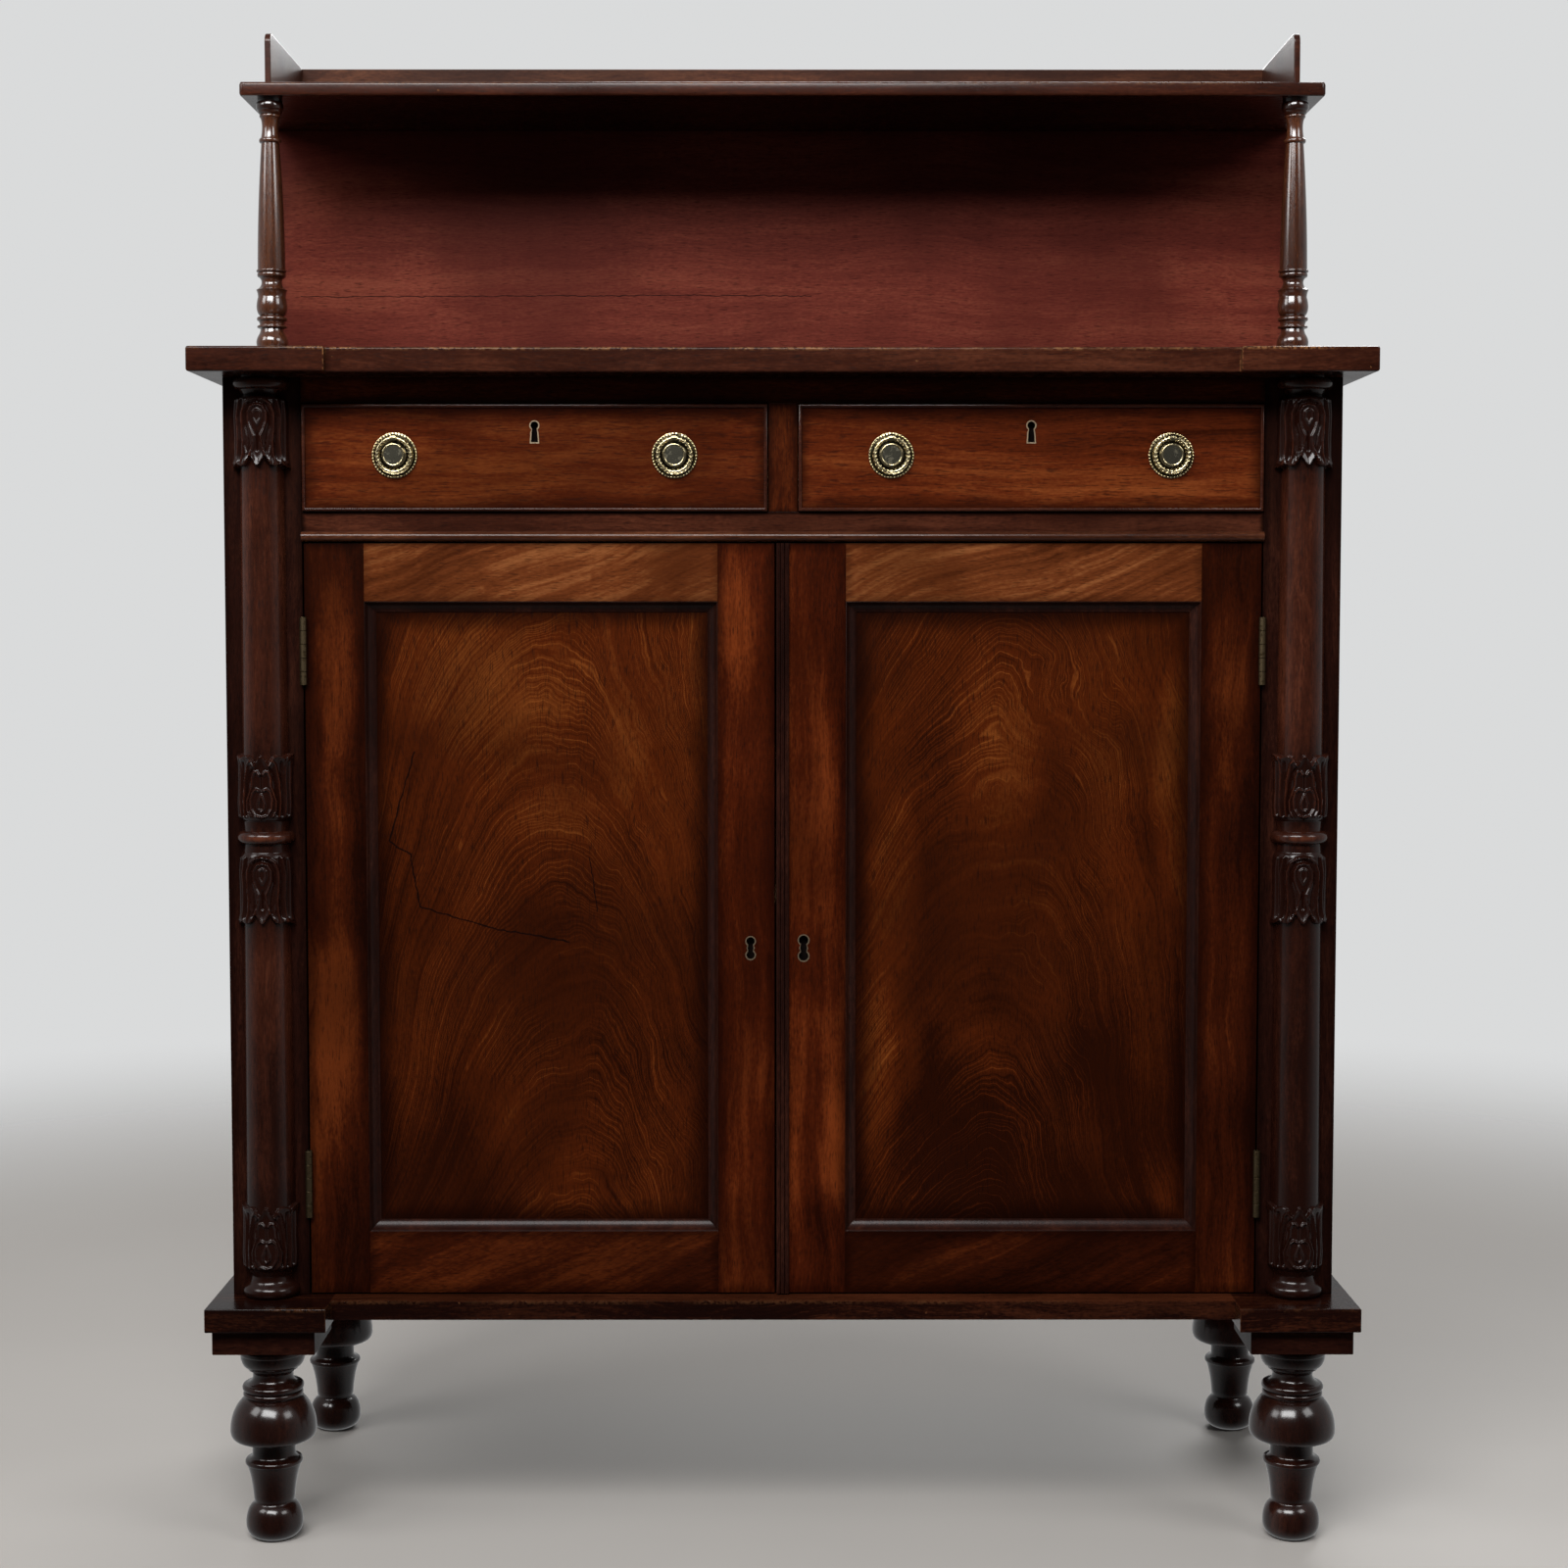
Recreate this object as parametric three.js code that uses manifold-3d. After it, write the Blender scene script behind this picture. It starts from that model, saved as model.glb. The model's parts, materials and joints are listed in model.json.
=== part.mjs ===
// A mahogany chiffonier: a cupboard with two drawers over two panelled doors, half columns on
// its corners, four turned feet, and a shelf with a low gallery on two turned spindles.
// Millimetres. X runs to the right, Y to the back and Z up. The origin is on the floor, in the
// middle of the top board's width and depth.

import * as THREE from 'three';
import { mergeVertices } from 'three/addons/utils/BufferGeometryUtils.js';
import Module from 'manifold-3d';

const wasm = await Module();
wasm.setup();

// Clearances
const seatGap = 0.3;
const drawerGap = 0.8;
const doorGap = 1.5;
const knuckleGap = 0.3;
const overrun = 2;

// Feet
const footHeight = 180;
const footRadius = 38.8;
const footSegments = 12;
const footBlockWidth = 92;
const footBlockDepth = 88;
const footBlockHeight = 22.5;
const footBlockInset = 9;
const footBlockSideInset = 4.5;

// Base board
const baseOverhang = 15.5;
const baseThickness = 17;
const baseEndThickness = 21.5;
const baseEndWidth = 108;
const baseFrontInset = 3;
const baseNose = 25;
const baseBevel = 1;

// Carcase
const carcaseHeight = 829;
const sideThickness = 20;
const backThickness = 9;
const backInset = 6;
const pilasterWidth = 69.5;
const pilasterThickness = 24;
const topRailHeight = 23;
const topRailDepth = 60;
const midRailHeight = 26.5;
const midRailDepth = 50;
const drawerOpeningHeight = 96.5;
const railBeadHeight = 9;
const railBeadProud = 6;
const dustboardThickness = 8;
const muntinWidth = 26;
const muntinDepth = 40;
const guideHeight = 24;
const guideWidth = 20;
const bearerSize = 15;
const innerShelfThickness = 16;
const innerShelfHeight = 350;
const innerShelfSetback = 40;

// Half columns
const columnInset = 35;
const columnLowRadius = 22.8;
const columnHighRadius = 19.2;
const columnRingRadius = 26;
const columnLeafFlare = 5.2;
const columnSteps = 12;
const leafScallopShare = 0.16;
const leafSideLobes = 5;

// Top board
const topWidth = 1040;
const topOverhang = 20;
const topDepth = 440;
const topThickness = 22;
const topNose = 56;
const topBreakWidth = 120;
const topBreakDepth = 9;
const boardBevel = 2;

// Upper shelf and gallery
const spindleHeight = 265;
const spindleRadius = 15.2;
const spindleInset = 24;
const spindleSetback = 20;
const spindleSegments = 10;
const shelfOverhang = 2;
const shelfDepth = 189;
const shelfThickness = 13;
const backboardInset = 1;
const backboardThickness = 10;
const galleryHeight = 50;
const galleryThickness = 6;
const galleryInset = 22.5;
const gallerySetback = 14;
const galleryCornerRadius = 9;

// Doors
const doorThickness = 22;
const doorStileWidth = 53.5;
const meetingStileWidth = 51;
const doorTopRailHeight = 52;
const doorBottomRailHeight = 56.5;
const meetingLine = -6;
const panelThickness = 8;
const panelMouldWidth = 9.5;
const panelMouldDepth = 8.5;
const astragalWidth = 11.5;
const astragalProud = 4;
const astragalReeds = 3;
const reedSegments = 4;

// Drawers
const drawerFrontThickness = 20;
const drawerFaceInset = 1.5;
const drawerBeadWidth = 3.2;
const drawerBeadProud = 4;
const drawerBackGap = 15;
const drawerSideThickness = 10;
const drawerSideHeight = 78;
const drawerBottomThickness = 6;
const drawerBottomRise = 8;

// Ring pulls
const pullInset = 83;
const pullRise = 50;
const pullPlateRadius = 20.6;
const pullPlateThickness = 3;
const pullBossRadius = 10.2;
const pullBossProud = 7;
const pullRingRadius = 14.9;
const pullTubeRadius = 2;
const pullStandoff = 1.7;
const pullEyeRadius = 4.1;
const pullEyeBore = 2.7;
const pullEyeWidth = 6;
const pullSegments = 18;
const pullRingSegments = 16;
const pullTubeSegments = 6;

// Butt hinges
const hingeLength = 61;
const hingeTopDrop = 66;
const hingeBottomRise = 70;
const hingeLeafWidth = 20;
const hingeLeafThickness = 1.4;
const hingeBarrelRadius = 3.2;
const hingePinRadius = 1.3;
const hingeBoreRadius = 1.8;
const hingeKnuckles = 5;
const hingeSegments = 8;

// Lock bolts
const boltThickness = 5;
const boltGap = 0.4;
const drawerBoltWidth = 20;
const drawerBoltHeight = 26;
const drawerBoltThrow = 7;
const doorBoltHeight = 20;
const doorBoltLength = 26;
const doorBoltThrow = 8;
const doorBoltRise = 317;

// Levels above the floor
const zBlock = footHeight;
const zBaseEnd = footHeight + footBlockHeight;
const zBase = zBaseEnd + baseEndThickness;
const zCarcaseTop = zBase + carcaseHeight;
const zTop = zCarcaseTop + topThickness;
const zShelf = zTop + spindleHeight;
const zGallery = zShelf + shelfThickness;
const zDrawerTop = zCarcaseTop - topRailHeight;
const zDrawer = zDrawerTop - drawerOpeningHeight;
const zMidRail = zDrawer - midRailHeight;
const zDustboard = zDrawer - dustboardThickness;
const zDoorTop = zMidRail - doorGap;
const zDoor = zBase + doorGap;
const zDoorBolt = zBase + doorBoltRise;
const zInnerShelf = zBase + innerShelfHeight;
const hingeRises = {
  bottom: zDoor + hingeBottomRise, top: zDoorTop - hingeTopDrop - hingeLength,
};

// Planes from front to back
const yTopFront = -topDepth / 2;
const yBack = topDepth / 2;
const yFace = yTopFront + topNose;
const yPilasterBack = yFace + pilasterThickness;
const yCarcaseBack = yBack - backInset;
const yBackPanel = yCarcaseBack - backThickness;
const yBaseFront = yTopFront + baseFrontInset;
const yShelfFront = yBack - shelfDepth;
const yBackboard = yBack - backboardThickness;
const yFoot = yBaseFront + footBlockInset + footBlockDepth / 2;
const ySpindle = yShelfFront + spindleSetback;
const yBolt = yFace + drawerFrontThickness / 2;
const yField = yFace - drawerFaceInset;
const yRing = yField - pullPlateThickness - pullStandoff - pullTubeRadius;
const yHinge = yFace - hingeBarrelRadius - knuckleGap;

// Half widths
const xTop = topWidth / 2;
const xSide = xTop - topOverhang;
const xInside = xSide - sideThickness;
const xOpening = xSide - pilasterWidth;
const xBase = xSide + baseOverhang;
const xHinge = xOpening - doorGap / 2;
const xFoot = xBase - footBlockSideInset - footBlockWidth / 2;
const xColumn = xSide - columnInset;
const xSpindle = xTop - spindleInset;
const xShelf = xTop + shelfOverhang;
const xBackboard = xTop - backboardInset;
const xMuntin = muntinWidth / 2;
const xDrawer = (xOpening + xMuntin) / 2;

const mahogany = { color: 0x5a2413, roughness: 0.32, metalness: 0 };
const darkMahogany = { color: 0x32140d, roughness: 0.35, metalness: 0 };
const redMahogany = { color: 0x6b211a, roughness: 0.5, metalness: 0 };
const flameMahogany = { color: 0x6a3016, roughness: 0.28, metalness: 0 };
const pine = { color: 0x9c7347, roughness: 0.75, metalness: 0 };
const brass = { color: 0xb8a05a, roughness: 0.35, metalness: 1 };
const oldBrass = { color: 0x6f6038, roughness: 0.5, metalness: 1 };
const iron = { color: 0x4a4640, roughness: 0.55, metalness: 1 };

const mirror = { left: -1, right: 1 };

// Joins the corners that coincide and drops the triangles that have shrunk to a line.
function weld(geometry) {
  const bare = geometry.clone();
  bare.deleteAttribute('normal');
  bare.deleteAttribute('uv');
  const welded = mergeVertices(bare);
  const index = Array.from(welded.index.array);
  const kept = [];
  for (let i = 0; i < index.length; i += 3) {
    const [a, b, c] = index.slice(i, i + 3);
    if (a !== b && b !== c && c !== a) kept.push(a, b, c);
  }
  welded.setIndex(kept);
  return welded;
}

function toSolid(geometry) {
  const welded = weld(geometry);
  return new wasm.Manifold(new wasm.Mesh({
    numProp: 3,
    vertProperties: new Float32Array(welded.attributes.position.array),
    triVerts: new Uint32Array(welded.index.array),
  }));
}

function toGeometry(solid) {
  const mesh = solid.getMesh();
  const geometry = new THREE.BufferGeometry();
  geometry.setAttribute('position', new THREE.BufferAttribute(mesh.vertProperties, 3));
  geometry.setIndex(new THREE.BufferAttribute(mesh.triVerts, 1));
  return geometry;
}

function place(group, name, geometry, look, position = [0, 0, 0]) {
  geometry.computeVertexNormals();
  const mesh = new THREE.Mesh(geometry, new THREE.MeshStandardMaterial(look));
  mesh.name = name;
  mesh.position.set(...position);
  group.add(mesh);
  return mesh;
}

// A box between two corners, each given as [x, y, z].
function block(low, high) {
  const size = high.map((value, axis) => value - low[axis]);
  const middle = high.map((value, axis) => (value + low[axis]) / 2);
  return new THREE.BoxGeometry(...size).translate(...middle);
}

// The same box on the left or the right, given on the right as spans of X, Y and Z.
function sided(side, x, y, z) {
  const span = [side * x[0], side * x[1]].sort((a, b) => a - b);
  return block([span[0], y[0], z[0]], [span[1], y[1], z[1]]);
}

function cut(base, ...cutters) {
  return cutters.reduce((solid, cutter) => solid.subtract(toSolid(cutter)), toSolid(base));
}

function join(base, ...others) {
  return others.reduce((solid, other) => solid.add(toSolid(other)), toSolid(base));
}

// A turned piece that stands on its own base, from shares of its radius and height.
function turned(shares, radius, height, segments) {
  const outline = shares.map(([across, up]) => new THREE.Vector2(across * radius, up * height));
  const closed = [new THREE.Vector2(0, outline[0].y), ...outline,
    new THREE.Vector2(0, outline[outline.length - 1].y)];
  return weld(new THREE.LatheGeometry(closed, segments).rotateX(Math.PI / 2));
}

// A cylinder between two heights on a vertical axis.
function post(x, y, low, high, radius, segments) {
  return new THREE.CylinderGeometry(radius, radius, high - low, segments)
    .rotateX(Math.PI / 2).translate(x, y, (low + high) / 2);
}

// A flat board from its outline in plan, with its upper and lower edges eased.
function easedBoard(outline, low, high, bevel) {
  const shape = new THREE.Shape(outline.map(([x, y]) => new THREE.Vector2(x, y)));
  return new THREE.ExtrudeGeometry(shape, {
    depth: high - low - 2 * bevel, bevelThickness: bevel, bevelSize: bevel,
    bevelOffset: -bevel, bevelSegments: 2, steps: 1,
  }).translate(0, 0, low + bevel);
}

// Feet: a square block over a cove, a bowl, a collar, a tapered shank and a ball.
const footShares = [
  [0.28, 0], [0.515, 0.02], [0.63, 0.058], [0.66, 0.095], [0.63, 0.13], [0.53, 0.167],
  [0.455, 0.19], [0.475, 0.205], [0.515, 0.295], [0.58, 0.383], [0.645, 0.395],
  [0.665, 0.422], [0.62, 0.44], [0.495, 0.455], [0.495, 0.51], [0.8, 0.523], [0.935, 0.545],
  [1, 0.595], [0.98, 0.645], [0.875, 0.705], [0.71, 0.748], [0.685, 0.757], [0.725, 0.778],
  [0.69, 0.806], [0.515, 0.833], [0.47, 0.867], [0.51, 0.895], [0.62, 0.911], [0.775, 0.925],
  [0.805, 0.95], [0.775, 0.978], [0.695, 0.99],
];

function foot(group, name, x, y) {
  const shank = turned([...footShares, [0.695, 1 + overrun / footHeight]], footRadius,
    footHeight, footSegments).translate(x, y, 0);
  const cap = block([x - footBlockWidth / 2, y - footBlockDepth / 2, zBlock],
    [x + footBlockWidth / 2, y + footBlockDepth / 2, zBaseEnd]);
  place(group, name, toGeometry(join(cap, shank)), darkMahogany);
}

function makeFeet(group) {
  for (const [hand, side] of Object.entries(mirror)) {
    foot(group, `foot_front_${hand}`, side * xFoot, yFoot);
    foot(group, `foot_rear_${hand}`, side * xFoot, -yFoot);
  }
}

function makeBase(group) {
  const yNose = yFace - baseNose;
  const middle = block([-xBase + baseEndWidth / 2, yNose, zBase - baseThickness],
    [xBase - baseEndWidth / 2, -yBaseFront, zBase]);
  const ends = Object.values(mirror).map((side) => easedBoard([
    [side * xBase, yBaseFront], [side * xBase, -yBaseFront],
    [side * (xBase - baseEndWidth), -yBaseFront], [side * (xBase - baseEndWidth), yBaseFront],
  ], zBaseEnd, zBase, baseBevel));
  place(group, 'base_board', toGeometry(join(middle, ...ends)), darkMahogany);
}

// The recess in which a hinge leaf lies, on the pilaster's inner edge or the door's outer edge.
function leafRecess(side, x, rise) {
  return sided(side, x, [yFace - overrun, yFace + hingeLeafWidth + seatGap],
    [rise - seatGap, rise + hingeLength + seatGap]);
}

// A side board, with the drawer's guide and the shelf's bearer glued to its inner face.
function carcaseSide(side) {
  const board = sided(side, [xInside, xSide], [yPilasterBack, yCarcaseBack], [zBase, zCarcaseTop]);
  const guide = sided(side, [xOpening, xInside + overrun], [yPilasterBack, yBackPanel],
    [zDrawer, zDrawer + guideHeight]);
  const bearer = sided(side, [xInside - bearerSize, xInside + overrun],
    [yPilasterBack + innerShelfSetback, yBackPanel], [zInnerShelf - bearerSize, zInnerShelf]);
  return toGeometry(join(board, guide, bearer));
}

function makeCarcase(group) {
  for (const [hand, side] of Object.entries(mirror)) {
    place(group, `carcase_side_${hand}`, carcaseSide(side), mahogany);
    const recesses = Object.values(hingeRises).map((rise) => leafRecess(side,
      [xOpening - overrun, xOpening + hingeLeafThickness + seatGap], rise));
    place(group, `pilaster_${hand}`, toGeometry(cut(sided(side, [xOpening, xSide],
      [yFace, yPilasterBack], [zBase, zCarcaseTop]), ...recesses)), darkMahogany);
  }
  place(group, 'carcase_back', block([-xInside, yBackPanel, zBase],
    [xInside, yCarcaseBack, zCarcaseTop]), pine);
  const mortises = Object.values(mirror).map((side) => block(
    [side * xDrawer - drawerBoltWidth / 2 - boltGap, yBolt - boltGap, zDrawerTop - overrun],
    [side * xDrawer + drawerBoltWidth / 2 + boltGap, yBolt + boltThickness + boltGap,
      zDrawerTop + drawerBoltThrow + overrun]));
  place(group, 'top_rail', toGeometry(cut(block([-xOpening, yFace, zDrawerTop],
    [xOpening, yFace + topRailDepth, zCarcaseTop]), ...mortises)), mahogany);
  place(group, 'mid_rail', midRail(), mahogany);
  place(group, 'muntin', block([-xMuntin, yFace, zDrawer],
    [xMuntin, yFace + muntinDepth, zDrawerTop]), mahogany);
  place(group, 'dustboard', block([-xInside, yFace + midRailDepth, zDustboard],
    [xInside, yBackPanel, zDrawer]), pine);
  place(group, 'drawer_guide', block([-guideWidth / 2, yFace + muntinDepth, zDrawer],
    [guideWidth / 2, yBackPanel, zDrawer + guideHeight]), pine);
  place(group, 'cupboard_shelf', block([-xInside, yPilasterBack + innerShelfSetback, zInnerShelf],
    [xInside, yBackPanel, zInnerShelf + innerShelfThickness]), pine);
}

// The rail between drawers and doors, with a rounded bead along its lower edge.
function midRail() {
  const half = railBeadHeight / 2;
  const outline = new THREE.Shape();
  outline.moveTo(yFace + midRailDepth, zMidRail);
  outline.lineTo(yFace + midRailDepth, zDrawer);
  outline.lineTo(yFace, zDrawer);
  outline.lineTo(yFace, zMidRail + railBeadHeight);
  outline.lineTo(yFace - railBeadProud + half, zMidRail + railBeadHeight);
  outline.absarc(yFace - railBeadProud + half, zMidRail + half, half,
    Math.PI / 2, 3 * Math.PI / 2, false);
  return new THREE.ExtrudeGeometry(outline, {
    depth: 2 * xOpening, bevelEnabled: false, curveSegments: 6,
  }).rotateX(Math.PI / 2).rotateZ(Math.PI / 2).translate(-xOpening, 0, 0);
}

// The carved half column, from shares of its height. Each row gives the height, the share of
// the way from the shaft's radius to the ring's, and the share of the leaves' flare.
const columnShares = [
  [0, 0.55, 0], [0.006, 0.95, 0], [0.012, 1, 0], [0.019, 0.85, 0], [0.023, 0.2, 0],
  [0.028, 0, 0], [0.032, 0, 0.2], [0.05, 0, 0.45], [0.07, 0, 0.6], [0.09, 0, 0.85],
  [0.1, 0, 1], [0.105, 0, 0],
  [0.25, 0, 0], [0.409, 0, 0],
  [0.412, 0, 1], [0.424, 0, 0.85], [0.444, 0, 0.6], [0.466, 0, 0.45], [0.485, 0, 0.2],
  [0.49, 0, 0], [0.495, 0.5, 0], [0.5, 0.95, 0], [0.504, 1, 0], [0.509, 0.95, 0],
  [0.514, 0.5, 0], [0.519, 0, 0],
  [0.524, 0, 0.2], [0.54, 0, 0.45], [0.56, 0, 0.6], [0.58, 0, 0.85], [0.593, 0, 1],
  [0.598, 0, 0],
  [0.75, 0, 0], [0.899, 0, 0],
  [0.903, 0, 1], [0.916, 0, 0.85], [0.936, 0, 0.65], [0.958, 0, 0.5], [0.975, 0, 0.2],
  [0.979, 0, 0], [0.985, 0, 0], [0.988, 0.75, 0], [0.994, 1, 0], [1, 0.85, 0],
];

function column(group, name, x) {
  const height = carcaseHeight;
  const points = [];
  for (const [up, ring, flare] of columnShares) {
    const shaft = columnLowRadius + (columnHighRadius - columnLowRadius) * up;
    for (let step = 0; step <= columnSteps; step += 1) {
      const angle = Math.PI * (step / columnSteps - 1 / 2);
      const lobe = 1 - leafScallopShare * (1 - Math.cos(leafSideLobes * angle));
      const radius = shaft + ring * (columnRingRadius - shaft) + flare * lobe * columnLeafFlare;
      points.push(x + radius * Math.sin(angle), yFace - radius * Math.cos(angle), zBase + height * up);
    }
    points[points.length - 3 * (columnSteps + 1) + 1] = yFace;
    points[points.length - 2] = yFace;
  }
  const width = columnSteps + 1;
  const rows = columnShares.length;
  const faces = [];
  for (let row = 0; row + 1 < rows; row += 1) {
    for (let step = 0; step < columnSteps; step += 1) {
      const a = row * width + step;
      faces.push(a, a + 1, a + width + 1, a, a + width + 1, a + width);
    }
    const left = row * width;
    const right = left + columnSteps;
    faces.push(left, left + width, right + width, left, right + width, right);
  }
  for (let step = 1; step < columnSteps; step += 1) {
    const top = (rows - 1) * width;
    faces.push(0, step + 1, step, top, top + step, top + step + 1);
  }
  const geometry = new THREE.BufferGeometry();
  geometry.setAttribute('position', new THREE.Float32BufferAttribute(points, 3));
  geometry.setIndex(faces);
  place(group, name, geometry, darkMahogany);
}

function makeColumns(group) {
  for (const [hand, side] of Object.entries(mirror)) {
    column(group, `column_${hand}`, side * xColumn);
  }
}

// The top board stands forward at both ends, over the columns.
function makeTop(group) {
  const inner = xTop - topBreakWidth;
  const yMiddle = yTopFront + topBreakDepth;
  const outline = [
    [xTop, yTopFront], [xTop, yBack], [-xTop, yBack], [-xTop, yTopFront],
    [-inner, yTopFront], [-inner, yMiddle], [inner, yMiddle], [inner, yTopFront],
  ];
  place(group, 'top_board', easedBoard(outline, zCarcaseTop, zTop, boardBevel), darkMahogany);
}

const spindleShares = [
  [1, 0], [1, 0.03], [0.84, 0.045], [0.84, 0.06], [0.97, 0.09], [0.99, 0.121],
  [0.86, 0.147], [0.74, 0.168], [0.96, 0.175], [0.8, 0.188], [0.975, 0.2], [0.8, 0.214],
  [0.93, 0.226], [0.975, 0.248], [0.83, 0.275], [0.93, 0.302], [0.96, 0.312], [0.64, 0.339],
  [0.9, 0.362], [0.85, 0.371], [0.975, 0.38], [0.575, 0.841], [0.7, 0.85], [0.575, 0.863],
  [0.51, 0.895], [0.605, 0.934], [0.64, 0.943], [0.8, 0.955], [0.83, 0.975], [0.83, 1],
];

function makeShelf(group) {
  for (const [hand, side] of Object.entries(mirror)) {
    place(group, `spindle_${hand}`, turned(spindleShares, spindleRadius, spindleHeight,
      spindleSegments), mahogany, [side * xSpindle, ySpindle, zTop]);
  }
  place(group, 'backboard', block([-xBackboard, yBackboard, zTop],
    [xBackboard, yBack, zShelf]), redMahogany);
  place(group, 'upper_shelf', easedBoard([
    [xShelf, yShelfFront], [xShelf, yBack], [-xShelf, yBack], [-xShelf, yShelfFront],
  ], zShelf, zGallery, boardBevel), mahogany);
  makeGallery(group);
}

// A low rail along the back of the shelf, and an end board with a round front corner each side.
function makeGallery(group) {
  const outer = xShelf - galleryInset;
  const inner = outer - galleryThickness;
  const yRail = yBack - galleryThickness;
  const yFront = yShelfFront + gallerySetback;
  place(group, 'gallery_rail', block([-outer, yRail, zGallery],
    [outer, yBack, zGallery + galleryHeight]), mahogany);
  const outline = new THREE.Shape();
  outline.moveTo(yFront, zGallery);
  outline.lineTo(yRail, zGallery);
  outline.lineTo(yRail, zGallery + galleryHeight);
  outline.lineTo(yFront + galleryCornerRadius, zGallery + galleryHeight);
  outline.absarc(yFront + galleryCornerRadius, zGallery + galleryHeight - galleryCornerRadius,
    galleryCornerRadius, Math.PI / 2, Math.PI, false);
  const end = new THREE.ExtrudeGeometry(outline, {
    depth: galleryThickness, bevelEnabled: false, curveSegments: 6,
  }).rotateX(Math.PI / 2).rotateZ(Math.PI / 2);
  place(group, 'gallery_end_left', end.clone(), mahogany, [-outer, 0, 0]);
  place(group, 'gallery_end_right', end.clone(), mahogany, [inner, 0, 0]);
}

// One leaf of a butt hinge with its knuckles. The odd knuckles and the pin are the carcase's.
function hingeLeaf(side, rise, onDoor) {
  const axisX = side * xHinge;
  const inward = onDoor ? -side : side;
  const reach = doorGap / 2;
  const plateNear = axisX + inward * reach;
  const plateFar = plateNear + inward * hingeLeafThickness;
  const xs = [plateNear, plateFar].sort((a, b) => a - b);
  const yPlate = yHinge + hingeBarrelRadius + knuckleGap;
  const pitch = hingeLength / hingeKnuckles;
  let solid = toSolid(block([xs[0], yPlate, rise], [xs[1], yFace + hingeLeafWidth,
    rise + hingeLength]));
  for (let knuckle = onDoor ? 1 : 0; knuckle < hingeKnuckles; knuckle += 2) {
    const low = rise + knuckle * pitch + knuckleGap / 2;
    const high = rise + (knuckle + 1) * pitch - knuckleGap / 2;
    solid = solid.add(toSolid(block([xs[0], yHinge, low], [xs[1],
      yPlate + hingeLeafThickness, high])));
    solid = solid.add(toSolid(post(axisX, yHinge, low, high, hingeBarrelRadius,
      hingeSegments)));
  }
  const whole = [rise + knuckleGap / 2, rise + hingeLength - knuckleGap / 2];
  if (onDoor) {
    return solid.subtract(toSolid(post(axisX, yHinge, rise - overrun,
      rise + hingeLength + overrun, hingeBoreRadius, hingeSegments)));
  }
  return solid.add(toSolid(post(axisX, yHinge, ...whole, hingePinRadius, hingeSegments)));
}

function makeHinges(group) {
  for (const [hand, side] of Object.entries(mirror)) {
    for (const [level, rise] of Object.entries(hingeRises)) {
      for (const [leaf, onDoor] of Object.entries({ frame: false, door: true })) {
        place(group, `hinge_${leaf}_leaf_${hand}_${level}`,
          toGeometry(hingeLeaf(side, rise, onDoor)), oldBrass);
      }
    }
  }
}

// A panel with the moulding that is planted round it, sloping back from the door's face.
function panel(xs, zs) {
  const yMould = yFace + seatGap;
  const yPanel = yMould + panelMouldDepth;
  const yRear = yPanel + panelThickness;
  const ring = (inset, y) => [
    [xs[0] + inset, y, zs[0] + inset], [xs[1] - inset, y, zs[0] + inset],
    [xs[1] - inset, y, zs[1] - inset], [xs[0] + inset, y, zs[1] - inset],
  ];
  const points = [...ring(0, yRear), ...ring(0, yMould), ...ring(panelMouldWidth, yPanel)];
  const faces = [0, 2, 1, 0, 3, 2, 8, 9, 10, 8, 10, 11];
  for (let corner = 0; corner < 4; corner += 1) {
    const next = (corner + 1) % 4;
    for (const lower of [0, 4]) {
      const [a, b, c, d] = [corner, next, next + 4, corner + 4].map((i) => i + lower);
      faces.push(a, b, c, a, c, d);
    }
  }
  const geometry = new THREE.BufferGeometry();
  geometry.setAttribute('position', new THREE.Float32BufferAttribute(points.flat(), 3));
  geometry.setIndex(faces);
  return geometry;
}

function door(group, hand, xs) {
  const side = mirror[hand];
  const ys = [yFace, yFace + doorThickness];
  const hingeEdge = side * (xOpening - doorGap);
  const meetingEdge = xs.find((x) => x !== hingeEdge);
  const hingeInner = hingeEdge - side * doorStileWidth;
  const meetingInner = meetingEdge + side * meetingStileWidth + (side > 0 ? astragalWidth : 0);
  const span = (a, b) => [Math.min(a, b), Math.max(a, b)];
  const piece = (x, z) => block([x[0], ys[0], z[0]], [x[1], ys[1], z[1]]);
  const whole = [zDoor, zDoorTop];
  const recesses = Object.values(hingeRises).map((rise) => leafRecess(side,
    [xOpening - doorGap - hingeLeafThickness - seatGap, xOpening], rise));
  place(group, `door_hinge_stile_${hand}`,
    toGeometry(cut(piece(span(hingeEdge, hingeInner), whole), ...recesses)), mahogany);
  const slot = [zDoorBolt - doorBoltHeight / 2 - boltGap, zDoorBolt + doorBoltHeight / 2 + boltGap];
  const reach = side > 0 ? doorBoltLength + boltGap : doorBoltThrow + overrun;
  const slotSpan = span(meetingEdge - side * overrun, meetingEdge + side * reach);
  const pocket = block([slotSpan[0], yBolt - boltGap, slot[0]],
    [slotSpan[1], yBolt + boltThickness + boltGap, slot[1]]);
  place(group, `door_meeting_stile_${hand}`,
    toGeometry(cut(piece(span(meetingEdge, meetingInner), whole), pocket)), mahogany);
  const rail = span(hingeInner, meetingInner);
  const low = zDoor + doorBottomRailHeight;
  const high = zDoorTop - doorTopRailHeight;
  place(group, `door_bottom_rail_${hand}`, piece(rail, [zDoor, low]), mahogany);
  place(group, `door_top_rail_${hand}`, piece(rail, [high, zDoorTop]), mahogany);
  place(group, `door_panel_${hand}`, panel(rail, [low, high]), flameMahogany);
}

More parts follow.
